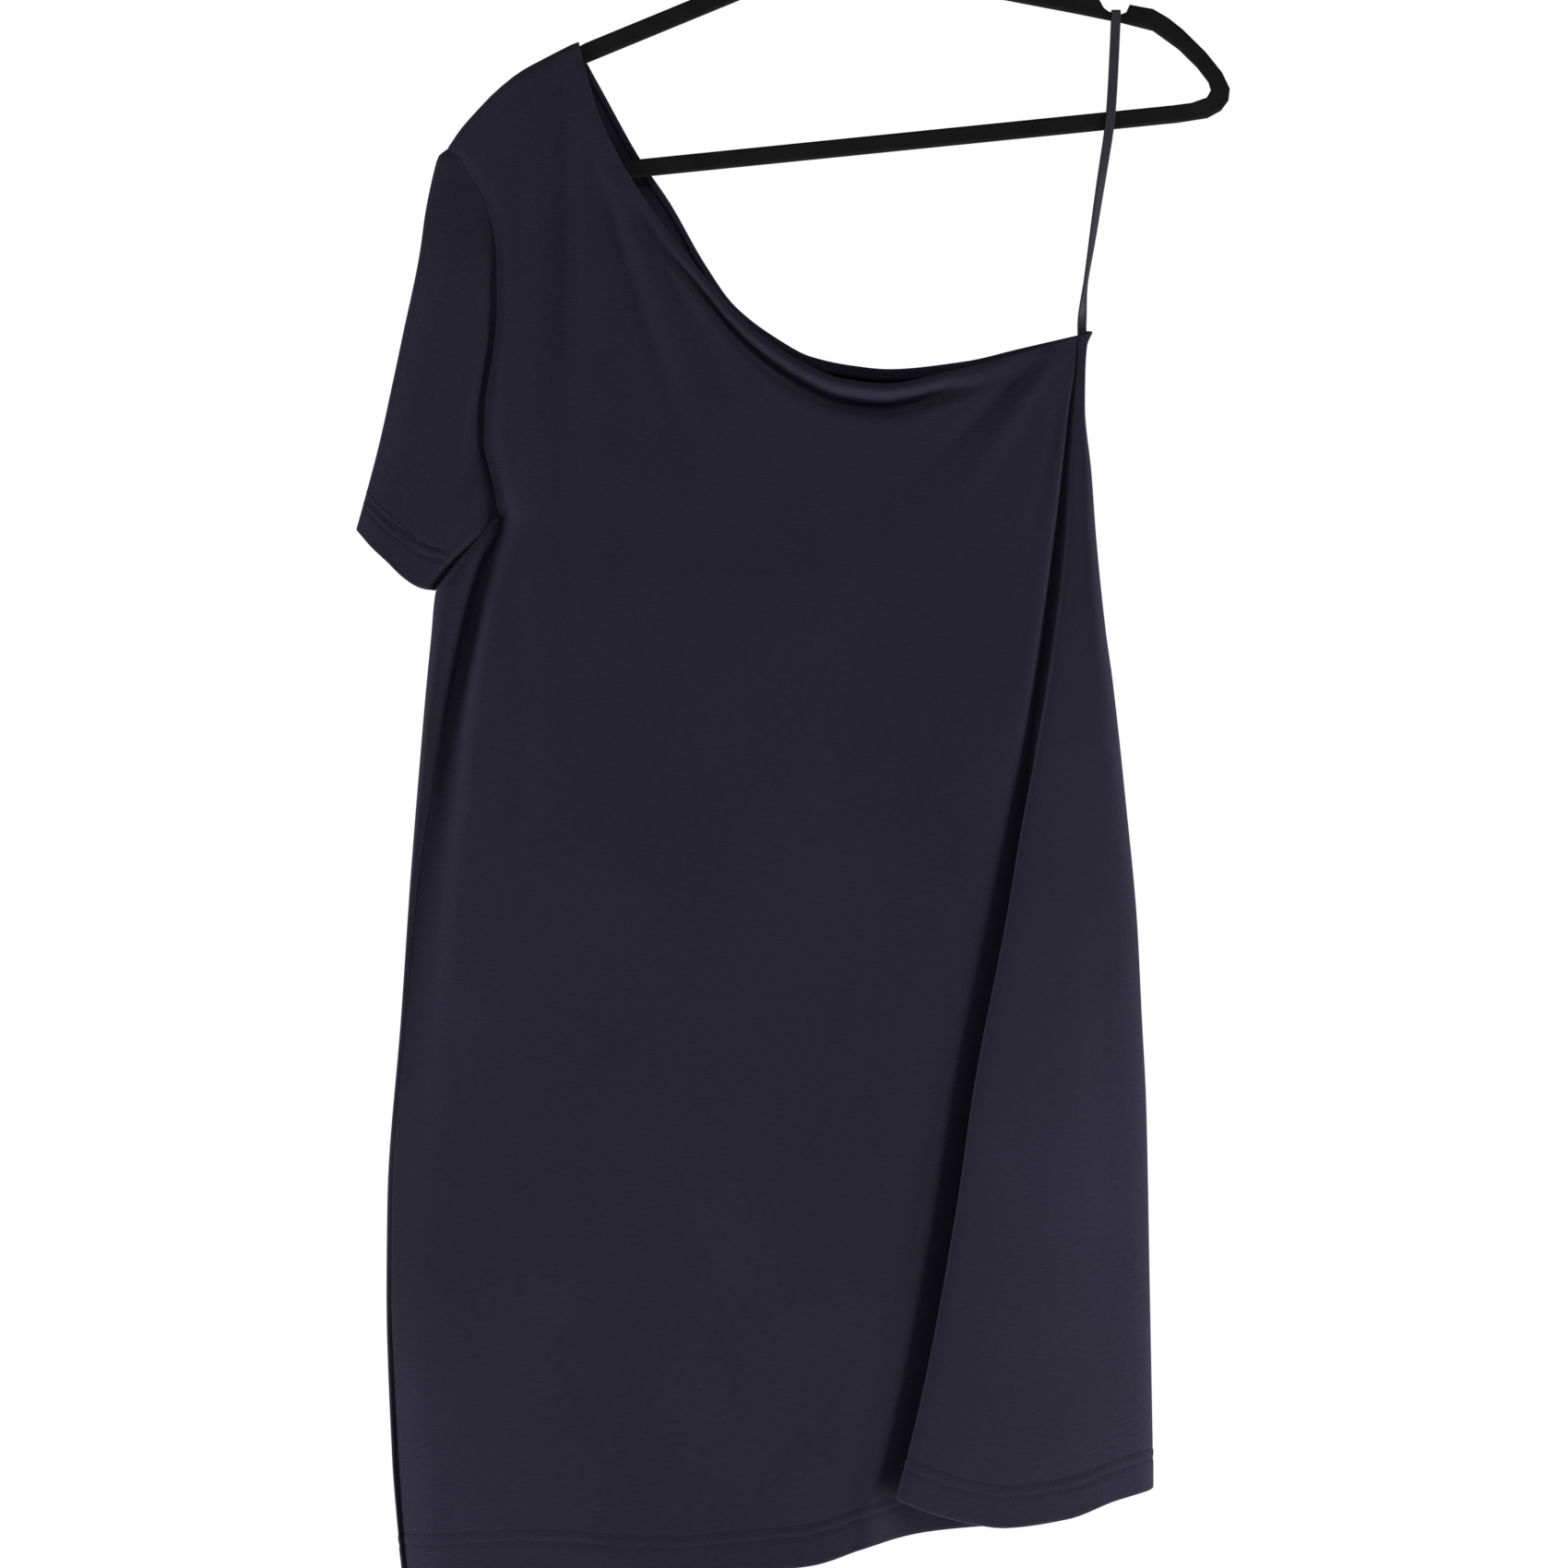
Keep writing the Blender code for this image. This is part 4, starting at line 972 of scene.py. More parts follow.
def cloth_mesh(name, points, closed=False):
    """A mesh made from a bmesh grid whose rows and columns are laid on these points in millimetres.

    Its UV map is the cloth laid flat, in metres: along the rows and up the columns from the hem."""
    rows, columns = points.shape[:2]
    along = np.linalg.norm(np.diff(points, axis=1), axis=2)
    along = np.concatenate([np.zeros((rows, 1)), np.cumsum(along, axis=1)], axis=1)
    # The wales run straight down the column a third of the way along.
    along -= along[:, columns // 3][:, None]
    down = np.linalg.norm(np.diff(points, axis=0), axis=2)
    down = np.concatenate([np.zeros((1, columns)), np.cumsum(down, axis=0)], axis=0)
    cloth = bmesh.new()
    bmesh.ops.create_grid(cloth, x_segments=columns - 1, y_segments=rows - 1, size=0.5)
    flat = cloth.loops.layers.uv.new("cloth")
    places = {}
    for vert in cloth.verts:
        column = round((vert.co.x + 0.5) * (columns - 1))
        row = round((0.5 - vert.co.y) * (rows - 1))
        places[vert] = (row, column)
    for face in cloth.faces:
        for loop in face.loops:
            row, column = places[loop.vert]
            loop[flat].uv = (along[row, column] * MM, (down[-1, column] - down[row, column]) * MM)
    for vert, (row, column) in places.items():
        vert.co = Vector(points[row, column]) * MM
    if closed:
        bmesh.ops.remove_doubles(cloth, verts=cloth.verts, dist=JOINED_WITHIN)
    mesh = bpy.data.meshes.new(name)
    cloth.to_mesh(mesh)
    cloth.free()
    mesh.shade_smooth()
    return mesh


def piece(name, mesh, finish, thickness=None):
    """Adds a piece that rides with the frame. A thickness gives an open cloth its wall."""
    mesh.materials.append(finish)
    made = bpy.data.objects.new(name, mesh)
    bpy.context.scene.collection.objects.link(made)
    if thickness:
        wall = made.modifiers.new("wall", "SOLIDIFY")
        wall.thickness = thickness
        wall.offset = 0.0
        wall.use_rim = True
    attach(made, "root")
    return made


def stitched_line(stitches, line, normals, sizes):
    """Adds evenly spaced stitches along a line of points in millimetres."""
    pitch, length, radius = sizes.stitch_pitch / MM, sizes.stitch / MM, sizes.thread / MM
    lift = sizes.cloth / MM / 2 + STITCH_LIFT
    steps = np.linalg.norm(np.diff(line, axis=0), axis=1)
    travelled = np.concatenate([[0], np.cumsum(steps)])

    def read(values, at):
        return np.array([np.interp(at, travelled, values[:, k]) for k in range(3)])

    for at in np.arange(pitch / 2, travelled[-1], pitch):
        normal = Vector(read(normals, at)).normalized()
        along = Vector(read(line, at + STITCH_REACH) - read(line, at - STITCH_REACH)).normalized()
        side = normal.cross(along).normalized()
        place = Matrix((along * length / 2, side * radius, normal * radius)).transposed().to_4x4()
        place.translation = Vector(read(line, at)) + normal * lift
        bmesh.ops.create_icosphere(stitches, subdivisions=1, radius=1.0, matrix=Matrix.Scale(MM, 4) @ place)


# A Wave texture of this scale has about one wave to each unit of its coordinates
ONE_WAVE = 0.32


def linear(hex_colour):
    """An sRGB hex colour as linear values."""
    channels = [int(hex_colour[i : i + 2], 16) / 255 for i in (0, 2, 4)]
    return tuple(c / 12.92 if c <= 0.04045 else ((c + 0.055) / 1.055) ** 2.4 for c in channels)


def fill(tree, made, inputs):
    """Gives a node its inputs, as values or links."""
    for key, value in inputs.items():
        if isinstance(value, bpy.types.NodeSocket):
            tree.links.new(value, made.inputs[key])
        else:
            made.inputs[key].default_value = value


def node(tree, kind, inputs=None, **settings):
    """Adds a shader node with its settings and its inputs."""
    made = tree.nodes.new("ShaderNode" + kind)
    for name, value in settings.items():
        setattr(made, name, value)
    fill(tree, made, inputs or {})
    return made


def noise(tree, place, scale, detail=2.0):
    """Noise with so many waves to each unit of these coordinates."""
    return node(tree, "TexNoise", {"Vector": place, "Scale": scale, "Detail": detail}).outputs["Fac"]


def combined(tree, operation, *values):
    """These values put through one sum."""
    return node(tree, "Math", dict(enumerate(values)), operation=operation).outputs["Value"]


def mixed(tree, share, first, second):
    """A colour between two, by a share."""
    inputs = {"Factor": share, "A": (*first, 1), "B": (*second, 1)}
    return node(tree, "Mix", inputs, data_type="RGBA").outputs["Result"]


def bumped(tree, height, strength, distance):
    """Normals of a surface that this height raises, by so many metres where it is 1."""
    inputs = {"Height": height, "Strength": strength, "Distance": distance}
    return node(tree, "Bump", inputs).outputs["Normal"]


def new_material(name):
    """A material with only its Principled shader, and its nodes."""
    made = bpy.data.materials.new(name)
    made.use_nodes = True
    return made, made.node_tree


def finished(material, inputs):
    """The material, with its shader's inputs as values or links."""
    fill(material.node_tree, material.node_tree.nodes["Principled BSDF"], inputs)
    return material


def jersey_material(colours, sizes):
    """Viscose single jersey, knitted fine and brushed soft by wear.

    To the eye it is a dull, very dark navy with faint upright wales, a dusty sheen where it turns away
    and a slightly uneven dye."""
    made, tree = new_material("navy_viscose_jersey")
    laid_flat = node(tree, "UVMap", uv_map="cloth").outputs["UV"]
    # Real wales are about 0.5 mm wide, too fine to show: they are drawn about twice as coarse.
    wale = 1 / sizes.wale_pitch
    knit = node(tree, "Mapping", {"Vector": laid_flat, "Scale": (wale, wale * 0.8, 1)}).outputs["Vector"]
    bands = {"Vector": knit, "Scale": ONE_WAVE, "Detail": 1.0}
    wales = node(tree, "TexWave", {**bands, "Distortion": 0.6, "Detail Scale": 1.4}, bands_direction="X")
    courses = node(tree, "TexWave", {**bands, "Distortion": 0.8, "Detail Scale": 1.2}, bands_direction="Y")
    fuzz = noise(tree, knit, 0.9, 4.0)
    # Thick places in the yarn, about 7 mm long and 1.5 mm high, and a dye uneven over about 140 mm
    yarn = node(tree, "Mapping", {"Vector": laid_flat, "Scale": (150, 700, 1)}).outputs["Vector"]
    slubs = noise(tree, yarn, 1.0, 3.0)
    uneven = noise(tree, laid_flat, 7.0)
    loops = combined(tree, "ADD", wales.outputs["Fac"], courses.outputs["Fac"])
    tone = combined(tree, "ADD", combined(tree, "ADD", fuzz, slubs), uneven)
    spread = node(tree, "MapRange", {"Value": tone, "From Min": 1.1, "From Max": 1.9})
    return finished(made, {
        "Base Color": mixed(tree, spread.outputs["Result"], colours.jersey, colours.jersey_worn),
        "Normal": bumped(tree, combined(tree, "MULTIPLY_ADD", loops, 0.5, fuzz), 0.25, 0.0004),
        "Roughness": 0.9, "Specular IOR Level": 0.18,
        "Sheen Weight": 0.10, "Sheen Roughness": 0.45, "Sheen Tint": (0.72, 0.72, 0.95, 1),
    })


def thread_material(colours):
    """Spun polyester sewing thread.

    Its colour is that of the jersey, a little darker, so to the eye a row of it is a dull, darker line."""
    made, tree = new_material("navy_sewing_thread")
    # The thread's twist, 0.4 mm long
    ply = noise(tree, node(tree, "TexCoord").outputs["Object"], 2500.0)
    tone = mixed(tree, ply, colours.thread, colours.jersey)
    return finished(made, {"Base Color": tone, "Roughness": 0.85, "Specular IOR Level": 0.15})


def ribbon_material(colours):
    """Woven polyester satin ribbon: to the eye a soft gloss across fine weft ribs, lighter than the jersey."""
    made, tree = new_material("navy_satin_ribbon")
    laid_flat = node(tree, "UVMap", uv_map="cloth").outputs["UV"]
    # Weft ribs are drawn 0.6 mm apart, about twice as coarse as real ones.
    ribs = node(tree, "Mapping", {"Vector": laid_flat, "Scale": (300, 1600, 1)}).outputs["Vector"]
    weft = node(tree, "TexWave", {"Vector": ribs, "Scale": ONE_WAVE}, bands_direction="Y").outputs["Fac"]
    return finished(made, {
        "Base Color": mixed(tree, weft, colours.ribbon, colours.jersey),
        "Normal": bumped(tree, weft, 0.3, 0.0001),
        "Roughness": 0.5, "Specular IOR Level": 0.35, "Sheen Weight": 0.1,
    })


def flock_material(colours):
    """Rayon flock on moulded plastic: to the eye dead black face-on, with a thin grey bloom at its edges."""
    made, tree = new_material("black_flock")
    place = node(tree, "TexCoord").outputs["Object"]
    # Real pile is far finer: it is drawn in tufts of 0.7 mm, and rubbed in patches of about 17 mm.
    pile = noise(tree, place, 1400.0, 3.0)
    rubbed = combined(tree, "MULTIPLY", pile, noise(tree, place, 60.0))
    return finished(made, {
        "Base Color": mixed(tree, rubbed, colours.flock, colours.flock_rubbed),
        "Normal": bumped(tree, pile, 0.5, 0.0004),
        "Roughness": 1.0, "Specular IOR Level": 0.05, "Sheen Weight": 0.08, "Sheen Roughness": 0.3,
    })


def wire_material(colours):
    """Chromed steel wire: to the eye bright and smooth, with a gloss that drawing left a little uneven."""
    made, tree = new_material("chromed_steel_wire")
    drawn = noise(tree, node(tree, "TexCoord").outputs["Object"], 900.0)
    rough = node(tree, "MapRange", {"Value": drawn, "To Min": 0.12, "To Max": 0.24}).outputs["Result"]
    return finished(made, {"Base Color": (*colours.wire, 1), "Metallic": 1.0, "Roughness": rough})


def plaster_material(colours):
    """Painted plaster floor: matt and pale, with a faint mottle."""
    made, tree = new_material("painted_plaster")
    mottle = noise(tree, node(tree, "TexCoord").outputs["Object"], 3.0, 3.0)
    tone = mixed(tree, mottle, colours.floor, [channel * 0.96 for channel in colours.floor])
    return finished(made, {"Base Color": tone, "Roughness": 0.9})


def finish_of(name, make, *needs):
    """The named material, made the first time that a piece asks for it."""
    return bpy.data.materials.get(name) or make(*needs)


class DressSizes(bpy.types.PropertyGroup):
    cloth: FloatProperty(
        name="Cloth", description="Thickness of the jersey", default=0.0007, unit="LENGTH")
    layer: FloatProperty(
        name="Layer", description="From one layer of a turned hem to the next", default=0.0009,
        unit="LENGTH")
    hem: FloatProperty(
        name="Hem", description="Depth of the turned hems", default=0.022, unit="LENGTH")
    needle_gap: FloatProperty(
        name="Needle gap", description="Between the two rows of hem stitches", default=0.006, unit="LENGTH")
    stitch_pitch: FloatProperty(
        name="Stitch pitch", description="From one stitch to the next", default=0.0032, unit="LENGTH")
    stitch: FloatProperty(
        name="Stitch", description="Length of one stitch", default=0.0027, unit="LENGTH")
    thread: FloatProperty(
        name="Thread", description="Half thickness of the thread", default=0.0003, unit="LENGTH")
    wale_pitch: FloatProperty(
        name="Wale pitch", description="Width of one knitted wale as drawn, about twice the real one",
        default=0.0011, unit="LENGTH")
    ribbon: FloatProperty(
        name="Ribbon", description="Thickness of the loop's ribbon", default=0.0005, unit="LENGTH")
    ribbon_steps: IntProperty(
        name="Ribbon steps", description="Rows between two points of the ribbon", default=6)


class DressColours(bpy.types.PropertyGroup):
    jersey: FloatVectorProperty(
        name="Jersey", description="Dyed jersey", subtype="COLOR", default=linear("201d2b"))
    jersey_worn: FloatVectorProperty(
        name="Worn jersey", description="Lighter dye", subtype="COLOR", default=linear("2a273a"))
    thread: FloatVectorProperty(
        name="Thread", description="Sewing thread", subtype="COLOR", default=linear("1c1a26"))
    ribbon: FloatVectorProperty(
        name="Ribbon", description="Hanging loop", subtype="COLOR", default=linear("33313f"))
    flock: FloatVectorProperty(
        name="Flock", description="Hanger's flock", subtype="COLOR", default=linear("161617"))
    flock_rubbed: FloatVectorProperty(
        name="Rubbed flock", description="Dusty flock", subtype="COLOR", default=linear("2c2c2d"))
    wire: FloatVectorProperty(
        name="Wire", description="Chromed wire", subtype="COLOR", default=linear("c8cacc"))
    floor: FloatVectorProperty(
        name="Floor", description="Painted floor", subtype="COLOR", default=linear("f2f1ef"))


class StageSettings(bpy.types.PropertyGroup):
    distance: FloatProperty(
        name="Camera distance", description="From the hanger's plane to the camera", default=2.2,
        unit="LENGTH")
    view_width: FloatProperty(
        name="View width", description="Width of the picture at the hanger's plane", default=0.8854,
        unit="LENGTH")
    surround: FloatProperty(
        name="Surround", description="Strength of the white surround as it is seen", default=1.0)
    ambient: FloatProperty(
        name="Ambient", description="Strength of the surround's light on the dress", default=0.11)
    left: FloatProperty(
        name="Left softbox", description="Power of the softbox on the left", default=27.8, unit="POWER")
    right: FloatProperty(
        name="Right softbox", description="Power of the softbox on the right", default=30.5, unit="POWER")
    top: FloatProperty(
        name="Top softbox", description="Power of the softbox above the camera", default=8.6, unit="POWER")


def sizes_in_mm(sizes):
    """The hem's sizes in millimetres: its depth and its two rows of stitches above the edge."""
    hem = sizes.hem / MM
    return {"hem": hem, "needles": (hem, hem - sizes.needle_gap / MM)}


def panel_points(nodes_at, last_node, count, top_edge, hem_at, relief, outward, sizes):
    """Points of one panel from its top edge to its hem, rows by columns, in millimetres.

    Its folds stand out along y by their relief, towards the viewer where outward is -1."""
    sections = Sections(nodes_at, last_node)
    columns = sections.columns(count, top_edge)
    top = sections.tops(top_edge, columns)
    z = column_heights(top, hem_at(sections, columns))
    t = np.broadcast_to(columns, z.shape)
    x, y = sections.at(t, z)
    folded = y + outward * relief(t, x, z, top - z)
    points = np.stack([x, turned_over_arm(x, folded, z), z], axis=2)
    hem = hem_relief(z - z[-1], sizes_in_mm(sizes))
    return points + normals_of(points) * hem[..., None]


def jersey_piece(name, points, context, closed=False):
    """One piece of jersey, laid on these points."""
    sizes, colours = context.scene.dress_sizes, context.scene.dress_colours
    jersey = finish_of("navy_viscose_jersey", jersey_material, colours, sizes)
    return piece(name, cloth_mesh(name, points, closed), jersey, sizes.cloth)


def sew_hem(name, points, above_hem, context):
    """The two rows of stitches of one turned hem, as one piece."""
    sizes, colours = context.scene.dress_sizes, context.scene.dress_colours
    stitches = bmesh.new()
    for needle in sizes_in_mm(sizes)["needles"]:
        line, normals = line_where(points, above_hem, needle)
        stitched_line(stitches, line, normals, sizes)
    mesh = bpy.data.meshes.new(name)
    stitches.to_mesh(mesh)
    stitches.free()
    mesh.shade_smooth()
    made = piece(name, mesh, finish_of("navy_sewing_thread", thread_material, colours))
    return made


class DRESS_OT_front(bpy.types.Operator):
    """Lays the front panel, with its wedge fold, rolled neckline, turned hem and stitches."""

    bl_idname = "dress.front"
    bl_label = "Front panel"

    def execute(self, context):
        sizes = context.scene.dress_sizes
        points = panel_points(front_nodes, LAST_FRONT_NODE, FRONT_COLUMNS,
                              FRONT_TOP, front_hem, front_relief, -1, sizes)
        laid = turned_edges(points, sizes.layer / MM)
        before = allowance(laid[:, 0], ALLOWANCE_LEAN, SIDE_ALLOWANCE[::-1])
        laid = np.concatenate([before, laid, turned_right_side(laid[:, -1])], axis=1)
        made = jersey_piece("dress_front_cloth", laid, context)
        stitches = sew_hem("front_hem_stitches", points, above_panel_hem(points), context)
        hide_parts("dress_front")
        return {"FINISHED"}


class DRESS_OT_back(bpy.types.Operator):
    """Lays the back panel, which wraps forward round the left side."""

    bl_idname = "dress.back"
    bl_label = "Back panel"

    def execute(self, context):
        sizes = context.scene.dress_sizes
        points = panel_points(back_nodes, LAST_BACK_NODE, BACK_COLUMNS,
                              BACK_TOP, back_hem, back_relief, 1, sizes)
        laid = turned_edges(points, sizes.layer / MM)
        before = turned_right_side(laid[:, 0])[:, ::-1]
        after = allowance(laid[:, -1], -ALLOWANCE_LEAN, SIDE_ALLOWANCE)
        laid = np.concatenate([before, laid, after], axis=1)
        made = jersey_piece("dress_back_cloth", laid, context)
        stitches = sew_hem("back_hem_stitches", points, above_panel_hem(points), context)
        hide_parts("dress_back")
        return {"FINISHED"}


def sleeve_point(s, t):
    """x and z of the flat-laid sleeve: s runs from its top fold to its underarm, t to its hem."""
    def corner(edge, key):
        return np.stack([edge.at("x", key), edge.at("z", key)], axis=-1)

    s, t = np.broadcast_arrays(s, t)
    armhole_z = blend(SLEEVE_TOP_FOLD.at("z", 0), ARMPIT[1], s)
    armhole = np.stack([LEFT_EDGE.at("x", armhole_z), armhole_z], axis=-1)
    share_t, share_s = t[..., None], s[..., None]
    across = blend(armhole, corner(SLEEVE_HEM, s), share_t)
    along = blend(corner(SLEEVE_TOP_FOLD, t), corner(SLEEVE_UNDERARM, t), share_s)
    at_armhole = blend(corner(SLEEVE_TOP_FOLD, 0 * s), corner(SLEEVE_UNDERARM, 0 * s), share_s)
    at_hem = blend(corner(SLEEVE_HEM, 0 * s), corner(SLEEVE_HEM, 0 * s + 1), share_s)
    flat = across + along - blend(at_armhole, at_hem, share_t)
    return flat[..., 0] - SLEEVE_SEAM_GAP * (1 - t), flat[..., 1]


def sleeve_rows(share):
    """Places down each column of the sleeve, close together near the armhole and at the turned hem."""
    t = np.linspace(0, 1, 60)[:, None]
    x, z = sleeve_point(share, t)
    length = np.hypot(np.diff(x, axis=0), np.diff(z, axis=0)).sum(axis=0)
    upper = np.array(ARMHOLE_ROWS)[:, None] / length
    lower = 1 - np.array(SLEEVE_HEM_ROWS)[:, None] / length
    middle = blend(upper[-1], lower[0], np.linspace(0, 1, SLEEVE_ROWS + 2)[1:-1, None])
    return np.concatenate([upper, middle, lower]), length


def sleeve_points(sizes):
    """Points of the sleeve, from its armhole to its hem: front from top fold to underarm, then back."""
    index = np.arange(SLEEVE_SIDE_COLUMNS + 2 * SLEEVE_FOLD_COLUMNS + 2)
    share = np.clip((index - SLEEVE_FOLD_COLUMNS) / (SLEEVE_SIDE_COLUMNS + 1), 0, 1)
    rise = np.clip(index / SLEEVE_FOLD_COLUMNS, 0, 1) * math.pi / 2
    fall = np.clip((index[-1] - index) / SLEEVE_FOLD_COLUMNS, 0, 1) * math.pi / 2
    t, column_length = sleeve_rows(share)
    top_depth, under_depth = SLEEVE_HALF_DEPTH.at("top", t), SLEEVE_HALF_DEPTH.at("under", t)
    top_x, top_z = sleeve_point(0.0 * t, t)
    under_x, under_z = sleeve_point(0.0 * t + 1, t)
    width = np.hypot(under_x - top_x, under_z - top_z)
    start = SIDE_WALL + top_depth * (1 - np.cos(rise))
    end = width - SIDE_WALL - under_depth * (1 - np.cos(fall))
    along = blend(start, end, share)
    round_ends = np.sin(rise) * np.sin(fall)
    out = blend(top_depth, under_depth, along / width) * round_ends
    x, z = sleeve_point(along / width, t)
    folds = sum(soft_line(fold, x, z) for fold in SLEEVE_FOLDS)
    hem = hem_relief((1 - t) * column_length, sizes_in_mm(sizes))
    from_armhole = t * column_length
    ditch = TROUGH.at("deep", z) * mound(from_armhole, TROUGH.at("half", z))
    swell = smoothstep(round_ends, 0.4, 1.0)
    form = {name: SLEEVE_FORM.at(name, z) for name in SLEEVE_FORM.columns if name != "z"}
    fall = form["fall"] * mound(from_armhole, form["fall_half"]) - form["raised"]
    fall = fall + form["round"] * mound(along, form["round_half"])
    front = np.stack([x, -(out + swell * (folds + hem - ditch - fall)), z], axis=2)
    rear = np.stack([x, out + swell * (REAR_FOLDS * folds + hem - ditch), z], axis=2)[:, ::-1]
    return np.concatenate([front, rear[:, 1:]], axis=1)


class DRESS_OT_sleeve(bpy.types.Operator):
    """Lays the short sleeve, with its turned hem and stitches."""

    bl_idname = "dress.sleeve"
    bl_label = "Sleeve"

    def execute(self, context):
        sizes = context.scene.dress_sizes
        points = sleeve_points(sizes)
        layer = sizes.layer / MM
        above_hem = above_sleeve_hem(points)
        turn = points[-1] - normals_of(points)[-2] * layer / 2 + (points[-1] - points[-2]) * SLEEVE_TURN
        laid = np.concatenate([points, [turn], inner_layer(points, above_hem, HEM_TURN_ROWS, layer)])
        laid[:, -1] = laid[:, 0]
        made = jersey_piece("sleeve_cloth", laid, context, closed=True)
        seam = sew_hem("sleeve_hem_stitches", points, above_hem, context)
        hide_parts("sleeve")
        return {"FINISHED"}


class DRESS_OT_loop(bpy.types.Operator):
    """Threads the narrow ribbon loop over the hanger's notch."""

    bl_idname = "dress.loop"
    bl_label = "Hanging loop"

    def execute(self, context):
        sizes, colours = context.scene.dress_sizes, context.scene.dress_colours
        names = ("x", "y", "z", "twist")
        nodes = np.array([[row[name] for name in names] for row in RIBBON_ROUTE], float)
        padded = np.vstack([2 * nodes[0] - nodes[1], nodes, 2 * nodes[-1] - nodes[-2]])
        front = []
        for t in np.linspace(0, len(nodes) - 1, sizes.ribbon_steps * (len(nodes) - 1) + 1):
            i = min(int(t), len(nodes) - 2)
            f = t - i
            front.append(np.array(spline_weights(f)) @ padded[i : i + 4] / 6)
        top = nodes[-1]
        over = []
        for angle in np.linspace(0, math.pi, RIBBON_TOP_ROWS + 2)[1:-1]:
            rise = RIBBON_STAND_OFF * math.sin(angle)
            over.append(np.array((top[0], -RIBBON_STAND_OFF * math.cos(angle), top[2] + rise, 0.0)))
        back = [np.array((x, -y, z, -twist)) for x, y, z, twist in reversed(front)]
        rows = []
        for x, y, z, twist in front + over + back:
            angle = math.radians(twist)
            across = np.array((math.cos(angle), math.sin(angle), 0.0)) * RIBBON_HALF_WIDTH
            middle = np.array((x, y, z))
            rows.append([middle + across * side for side in np.linspace(-1, 1, RIBBON_COLUMNS)])
        mesh = cloth_mesh("hanging_loop_ribbon", np.array(rows)[::-1])
        ribbon = finish_of("navy_satin_ribbon", ribbon_material, colours)
        made = piece("hanging_loop_ribbon", mesh, ribbon, sizes.ribbon)
        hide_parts("hanging_loop")
        return {"FINISHED"}


class DRESS_OT_hanger(bpy.types.Operator):
    """Finishes the hanger's flocked frame and chromed hook."""

    bl_idname = "dress.hanger"
    bl_label = "Hanger"

    def execute(self, context):
        colours = context.scene.dress_colours
        flock = finish_of("black_flock", flock_material, colours)
        wire = finish_of("chromed_steel_wire", wire_material, colours)
        for name, finish in (("hanger_frame", flock), ("hanger_hook", wire)):
            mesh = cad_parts[name].data
            mesh.materials.clear()
            mesh.materials.append(finish)
        return {"FINISHED"}


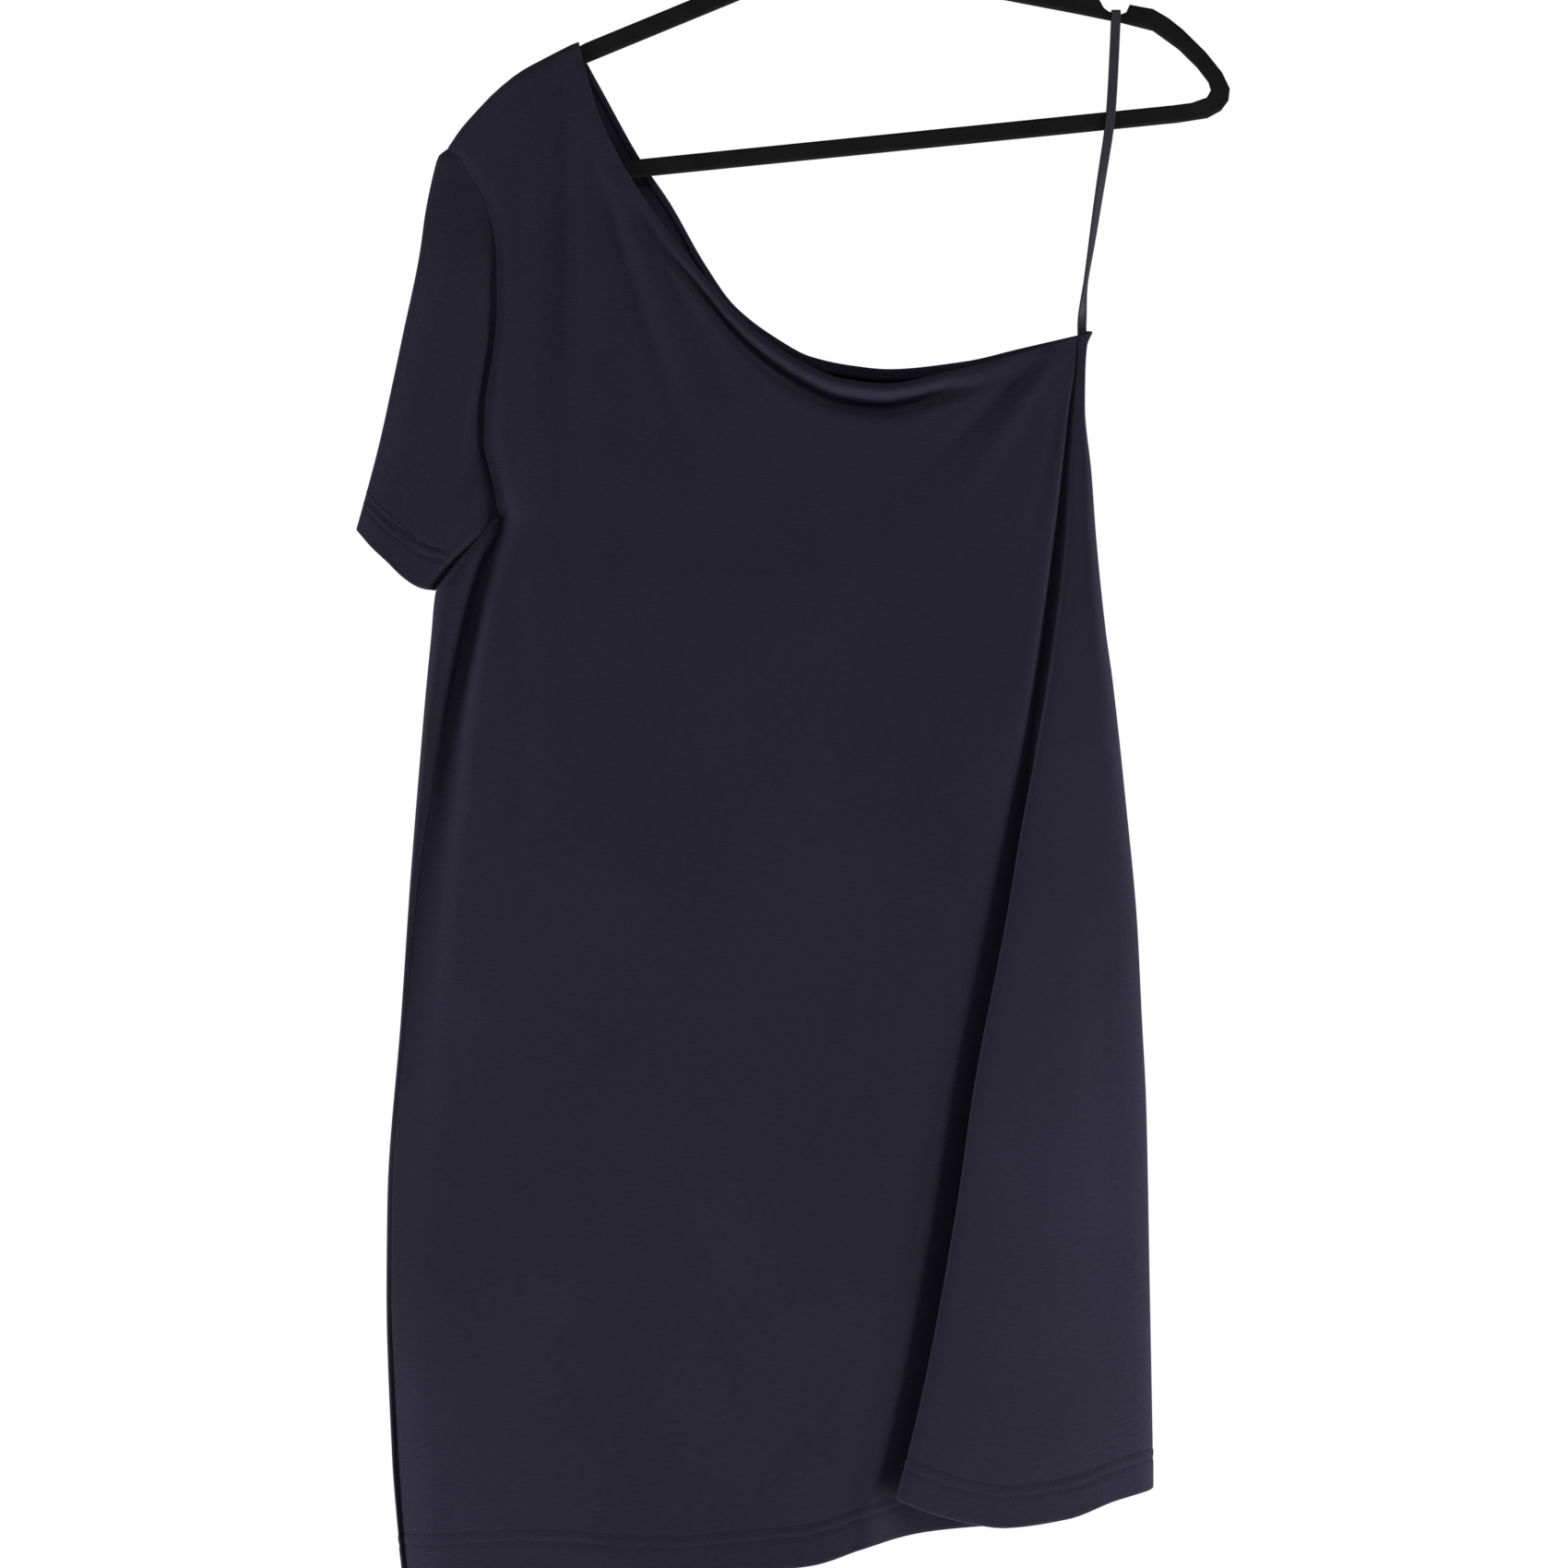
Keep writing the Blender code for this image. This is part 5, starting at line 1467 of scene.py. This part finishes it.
class DRESS_OT_stage(bpy.types.Operator):
    """Sets the pale floor, the soft studio light and the camera."""

    bl_idname = "dress.stage"
    bl_label = "Stage"

    def execute(self, context):
        scene, stage = context.scene, context.scene.dress_stage
        floor_mesh = bpy.data.meshes.new("studio_floor")
        floor = bmesh.new()
        bmesh.ops.create_circle(floor, cap_ends=True, segments=96, radius=FLOOR_RADIUS,
                                matrix=Matrix.Translation((0, 0, CAD_BOX[0].z - FLOOR_DROP)))
        floor.to_mesh(floor_mesh)
        floor.free()
        floor_mesh.materials.append(finish_of("painted_plaster", plaster_material, scene.dress_colours))
        ground = bpy.data.objects.new("studio_floor", floor_mesh)
        scene.collection.objects.link(ground)
        scene.world = bpy.data.worlds.new("white_surround")
        scene.world.use_nodes = True
        sky = scene.world.node_tree
        seen = node(sky, "LightPath")
        strength = node(sky, "MapRange", {
            "Value": seen.outputs["Is Camera Ray"], "To Min": stage.ambient, "To Max": stage.surround,
        })
        fill(sky, sky.nodes["Background"], {"Color": (1, 1, 1, 1), "Strength": strength.outputs["Result"]})
        for side, box in SOFTBOXES.items():
            lamp = bpy.data.lights.new(side + "_softbox", "AREA")
            lamp.shape = "RECTANGLE"
            lamp.size, lamp.size_y = box["size"]
            lamp.energy = getattr(stage, side)
            softbox = bpy.data.objects.new(side + "_softbox", lamp)
            softbox.location = box["place"]
            towards_dress = Vector(LIT_POINT) - softbox.location
            softbox.rotation_euler = towards_dress.to_track_quat("-Z", "Y").to_euler()
            softbox.visible_camera = False
            scene.collection.objects.link(softbox)
        shot = bpy.data.cameras.new("photo_camera")
        shot.sensor_width = 36.0
        shot.lens = shot.sensor_width * stage.distance / stage.view_width
        camera = bpy.data.objects.new("photo_camera", shot)
        camera.location = (VIEW_MIDDLE[0], -stage.distance, VIEW_MIDDLE[1])
        camera.rotation_euler = (math.pi / 2, 0, 0)
        scene.collection.objects.link(camera)
        scene.camera = camera
        scene.view_settings.view_transform = "Standard"
        return {"FINISHED"}


class DRESS_PT_panel(bpy.types.Panel):
    bl_idname = "DRESS_PT_panel"
    bl_label = "One-shoulder dress"
    bl_space_type = "VIEW_3D"
    bl_region_type = "UI"
    bl_category = "Dress"

    def draw(self, context):
        for group in (context.scene.dress_sizes, context.scene.dress_colours, context.scene.dress_stage):
            box = self.layout.box()
            for name in group.__annotations__:
                box.prop(group, name)
        for operator in OPERATORS:
            self.layout.operator(operator.bl_idname)


OPERATORS = (
    DRESS_OT_front,
    DRESS_OT_back,
    DRESS_OT_sleeve,
    DRESS_OT_loop,
    DRESS_OT_hanger,
    DRESS_OT_stage,
)
GROUPS = {"dress_sizes": DressSizes, "dress_colours": DressColours, "dress_stage": StageSettings}


def register():
    for cls in (*GROUPS.values(), *OPERATORS, DRESS_PT_panel):
        bpy.utils.register_class(cls)
    for name, group in GROUPS.items():
        setattr(bpy.types.Scene, name, PointerProperty(type=group))


def unregister():
    for name in GROUPS:
        delattr(bpy.types.Scene, name)
    for cls in reversed((*GROUPS.values(), *OPERATORS, DRESS_PT_panel)):
        bpy.utils.unregister_class(cls)


def main():
    register()
    bpy.ops.dress.hanger()
    bpy.ops.dress.loop()
    bpy.ops.dress.front()
    bpy.ops.dress.back()
    bpy.ops.dress.sleeve()
    bpy.ops.dress.stage()


if __name__ == "__main__":
    main()
